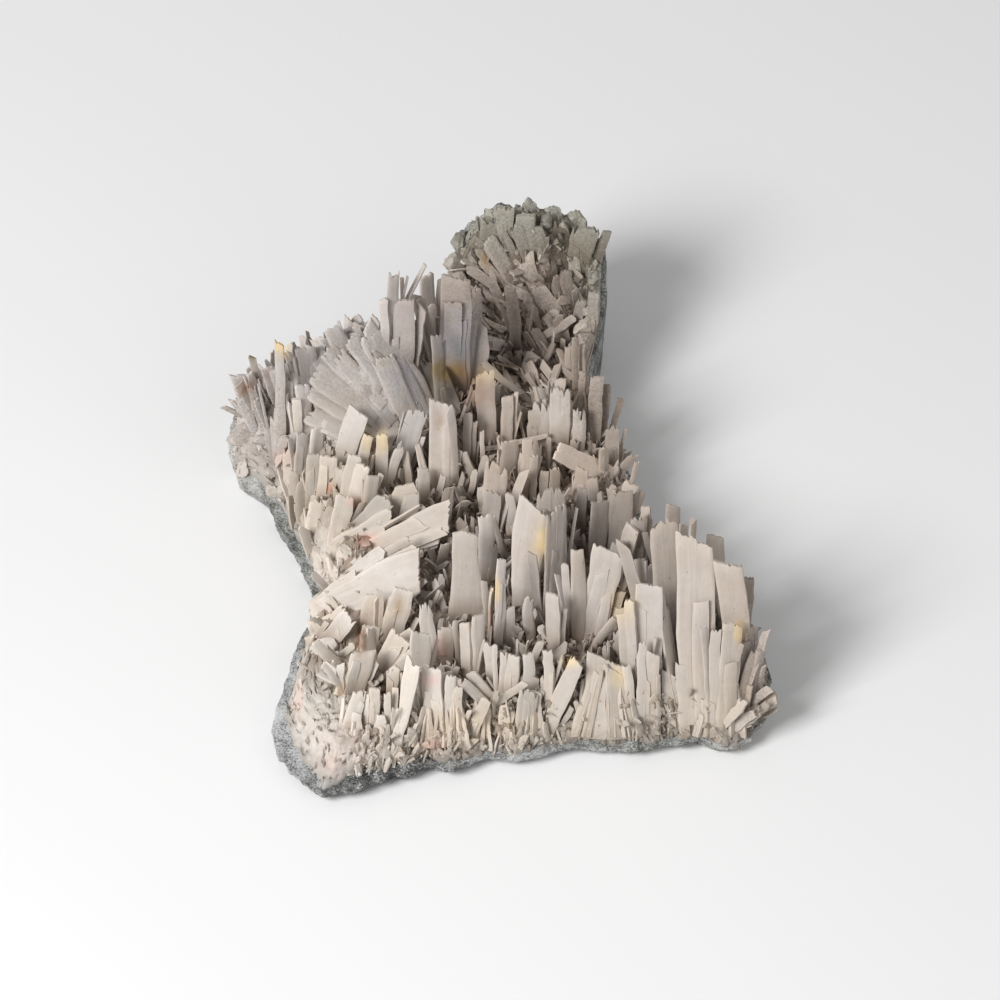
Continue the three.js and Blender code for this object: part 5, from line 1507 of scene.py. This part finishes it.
dressing(
    "small_middle", 23,
    (scatter, dict(box=(-32, 68, 10, 110), spacing=2.3, pull=(0, 0.12, 0.85), sway=0.48, length=(3, 13),
                   keep=middle_field, width=(0.5, 3.2), turn=80, tone=(0.66, 1.08))),
    (crumbs, dict(box=(20, 68, 10, 110), spacing=1.6, keep=near_edge(6), size=(0.6, 2.4),
                  tone=(0.75, 1.0))),
    (scatter, dict(box=(18, 68, 12, 112), spacing=2.1, keep=near_edge(8), pull=(0.3, 0.1, 0.7), sway=0.4,
                   length=(1.8, 5.5), width=(0.8, 2.8), turn=85, tone=(0.75, 1.0), pale=3)),
)
dressing(
    "stubs", 33,
    (scatter, dict(box=(-60, 66, 10, 112), spacing=2.3, pull=(0, 0.0, 0.8), sway=0.55, length=(1.8, 5),
                   keep=lambda x, y, d: (d > 1) & ~on_mound(x, y) & ((x > -34) | (y > 56)),
                   width=(0.5, 1.8), turn=85, tone=(0.8, 1.02), free=True)),
)
dressing(
    "small_mound", 27,
    (straw, dict(box=(-56, -12, 84, 124), spacing=5.0,
                 keep=lambda x, y, d: on_mound(x, y) & (y < 116) & (x < -18), heading=128, spread=8,
                 length=(5, 11), width=(1.2, 4.5), tilt=14, above=(-0.5, 0.1), lift=(0, 0.05),
                 tone=(0.95, 1.03))),
    (scatter, dict(box=(-56, -12, 100, 124), spacing=2.0, keep=lambda x, y, d: on_mound(x, y) & (y > 104),
                   pull=(-0.5, 0.1, 0.5), sway=0.25, length=(1.5, 4), width=(1.2, 3.4), push=0.3, pale=6)),
    (crumbs, dict(box=(-56, -10, 84, 124), spacing=1.6, keep=lambda x, y, d: on_mound(x, y),
                  size=(0.3, 1.1), pale=8)),
    (crumbs, dict(box=(-56, -12, 100, 124), spacing=4.5, keep=lambda x, y, d: on_mound(x, y) & (y > 108),
                  size=(3, 6), detail=FINE, pale=8, tone=(0.95, 1.05))),
)
dressing(
    "small_lobe_left", 24,
    (scatter, dict(box=(-70, -44, 96, 128), spacing=1.7, pull=(-0.3, 0.35, 0.7), sway=0.2, length=(2.5, 7),
                   keep=lambda x, y, d: (x < -44) & ~on_mound(x, y) & (d > 6) & (x + y > 56),
                   width=(0.6, 1.8), turn=60, pale=4)),
    (straw, dict(box=(-68, -44, 88, 124), spacing=2.6,
                 keep=lambda x, y, d: (d > 7) & (x + y > 48) & ~on_mound(x, y), heading=118, spread=14,
                 length=(4, 9), width=(0.8, 2.2), tone=(0.92, 1.0))),
    (crumbs, dict(box=(-70, -44, 84, 128), spacing=1.3, keep=near_edge(5), size=(0.4, 1.6), lift=-0.1)),
    (crumbs, dict(box=(-72, -50, 84, 122), spacing=3.2, keep=near_edge(9), size=(4, 8.5), detail=FINE,
                  lift=0.02, tone=(1.0, 1.1), pale=9)),
)
dressing(
    "small_lobe_back", 25,
    (scatter, dict(box=(-14, 30, 110, 164), spacing=2.0, pull=(-0.35, 0.15, 0.5), sway=0.42,
                   length=(2.5, 8), keep=lambda x, y, d: ((y > 112) | (x > -2)) & (d > 9), width=(0.8, 2.8),
                   turn=85, tone=(0.6, 1.4), free=True, pale=5, push=0.15, thickness=(0.5, 1.2))),
    (straw, dict(box=(-14, 30, 112, 152), spacing=5.2, keep=off_edge(6), heading=125, spread=35,
                 length=(5, 10), width=(1.4, 3.4), tilt=70, above=(0.5, 3.5), tone=(0.8, 1.3),
                 lift=(0, 0.6))),
)
dressing(
    "crumbs_back", 35,
    (crumbs, dict(box=(-16, 32, 104, 168), spacing=1.55, keep=lambda x, y, d: (y > 112) | (x > -2),
                  size=(0.6, 2.4), tone=(0.8, 1.15))),
    (crumbs, dict(box=(-18, 32, 124, 172), spacing=3.9,
                  keep=lambda x, y, d: (d < 10) & ((x > -8) | (y > 146)), size=(4.5, 8.5), detail=FINE,
                  lift=0.1, tone=(0.8, 1.45), margin=0.6, cuts=16)),
    (crumbs, dict(box=(-70, 32, 104, 170), spacing=1.9, keep=lambda x, y, d: (d < 4) & (y > 110),
                  size=(0.6, 2.2))),
)
dressing(
    "small_rear", 26,
    (scatter, dict(box=(-64, -12, 106, 140), spacing=2.6, keep=lambda x, y, d: (y > 108) & ~on_mound(x, y),
                   pull=(0, 0.25, 0.7), sway=0.35, length=(3, 11), width=(0.8, 3.0), turn=80)),
    (scatter, dict(box=(-56, -14, 108, 124), spacing=2.3, keep=lambda x, y, d: on_mound(x, y) & (y > 109),
                   pull=(-0.05, 0.55, 0.5), sway=0.25, length=(2, 6), width=(1.4, 4.0), turn=70, pale=6)),
    (crumbs, dict(box=(-64, -12, 108, 136), spacing=2.6, keep=lambda x, y, d: y > 109, size=(1, 3.2),
                  pale=6)),
)

# ---------------------------------------------------------------- floor, light and camera
FLOOR_HALF = 4.0
FLOOR_TONE = 0.86
WORLD_STRENGTH = 0.34
LENS = 400.0
SENSOR = 36.0
FRAME_WIDTH = 0.250
CLIP_END = 20.0
TARGET = Vector((0.0, 0.0008, 0.015))
ELEVATION = math.radians(45)

floor_mesh = bpy.data.meshes.new("floor")
floor_corners = [(x * FLOOR_HALF, y * FLOOR_HALF, 0) for x, y in ((-1, -1), (1, -1), (1, 1), (-1, 1))]
floor_mesh.from_pydata(floor_corners, [], [(0, 1, 2, 3)])
floor = bpy.data.objects.new("floor", floor_mesh)
bpy.context.scene.collection.objects.link(floor)
floor_look = Look("pale_floor")
floor_look.put("Base Color", np.full(3, FLOOR_TONE))
floor_look.put("Roughness", 0.9)
floor_mesh.materials.append(floor_look.material)


def aimed(name, data, place, away):
    """An object at a place that looks against the direction away."""
    item = bpy.data.objects.new(name, data)
    item.location = place
    item.rotation_mode = "QUATERNION"
    item.rotation_quaternion = (-away).to_track_quat("-Z", "Y")
    bpy.context.scene.collection.objects.link(item)
    return item


def soft_light(name, place, size, power):
    lamp = bpy.data.lights.new(name, "AREA")
    lamp.energy = power
    lamp.size = size
    aimed(name, lamp, place, Vector(place))


soft_light("key", place=(-0.85, -0.75, 0.95), size=0.6, power=21)
soft_light("fill", place=(0.9, -0.9, 0.9), size=1.2, power=3)

world = bpy.data.worlds.new("studio")
bpy.context.scene.world = world
world.use_nodes = True
background = world.node_tree.nodes["Background"]
background.inputs["Color"].default_value = (1, 1, 1, 1)
background.inputs["Strength"].default_value = WORLD_STRENGTH
bpy.context.scene.view_settings.view_transform = "Standard"

camera_data = bpy.data.cameras.new("camera")
camera_data.lens = LENS
camera_data.sensor_width = SENSOR
camera_data.clip_end = CLIP_END
away = Vector((0, -math.cos(ELEVATION), math.sin(ELEVATION)))
camera_distance = FRAME_WIDTH * LENS / SENSOR
bpy.context.scene.camera = aimed("camera", camera_data, TARGET + away * camera_distance, away)
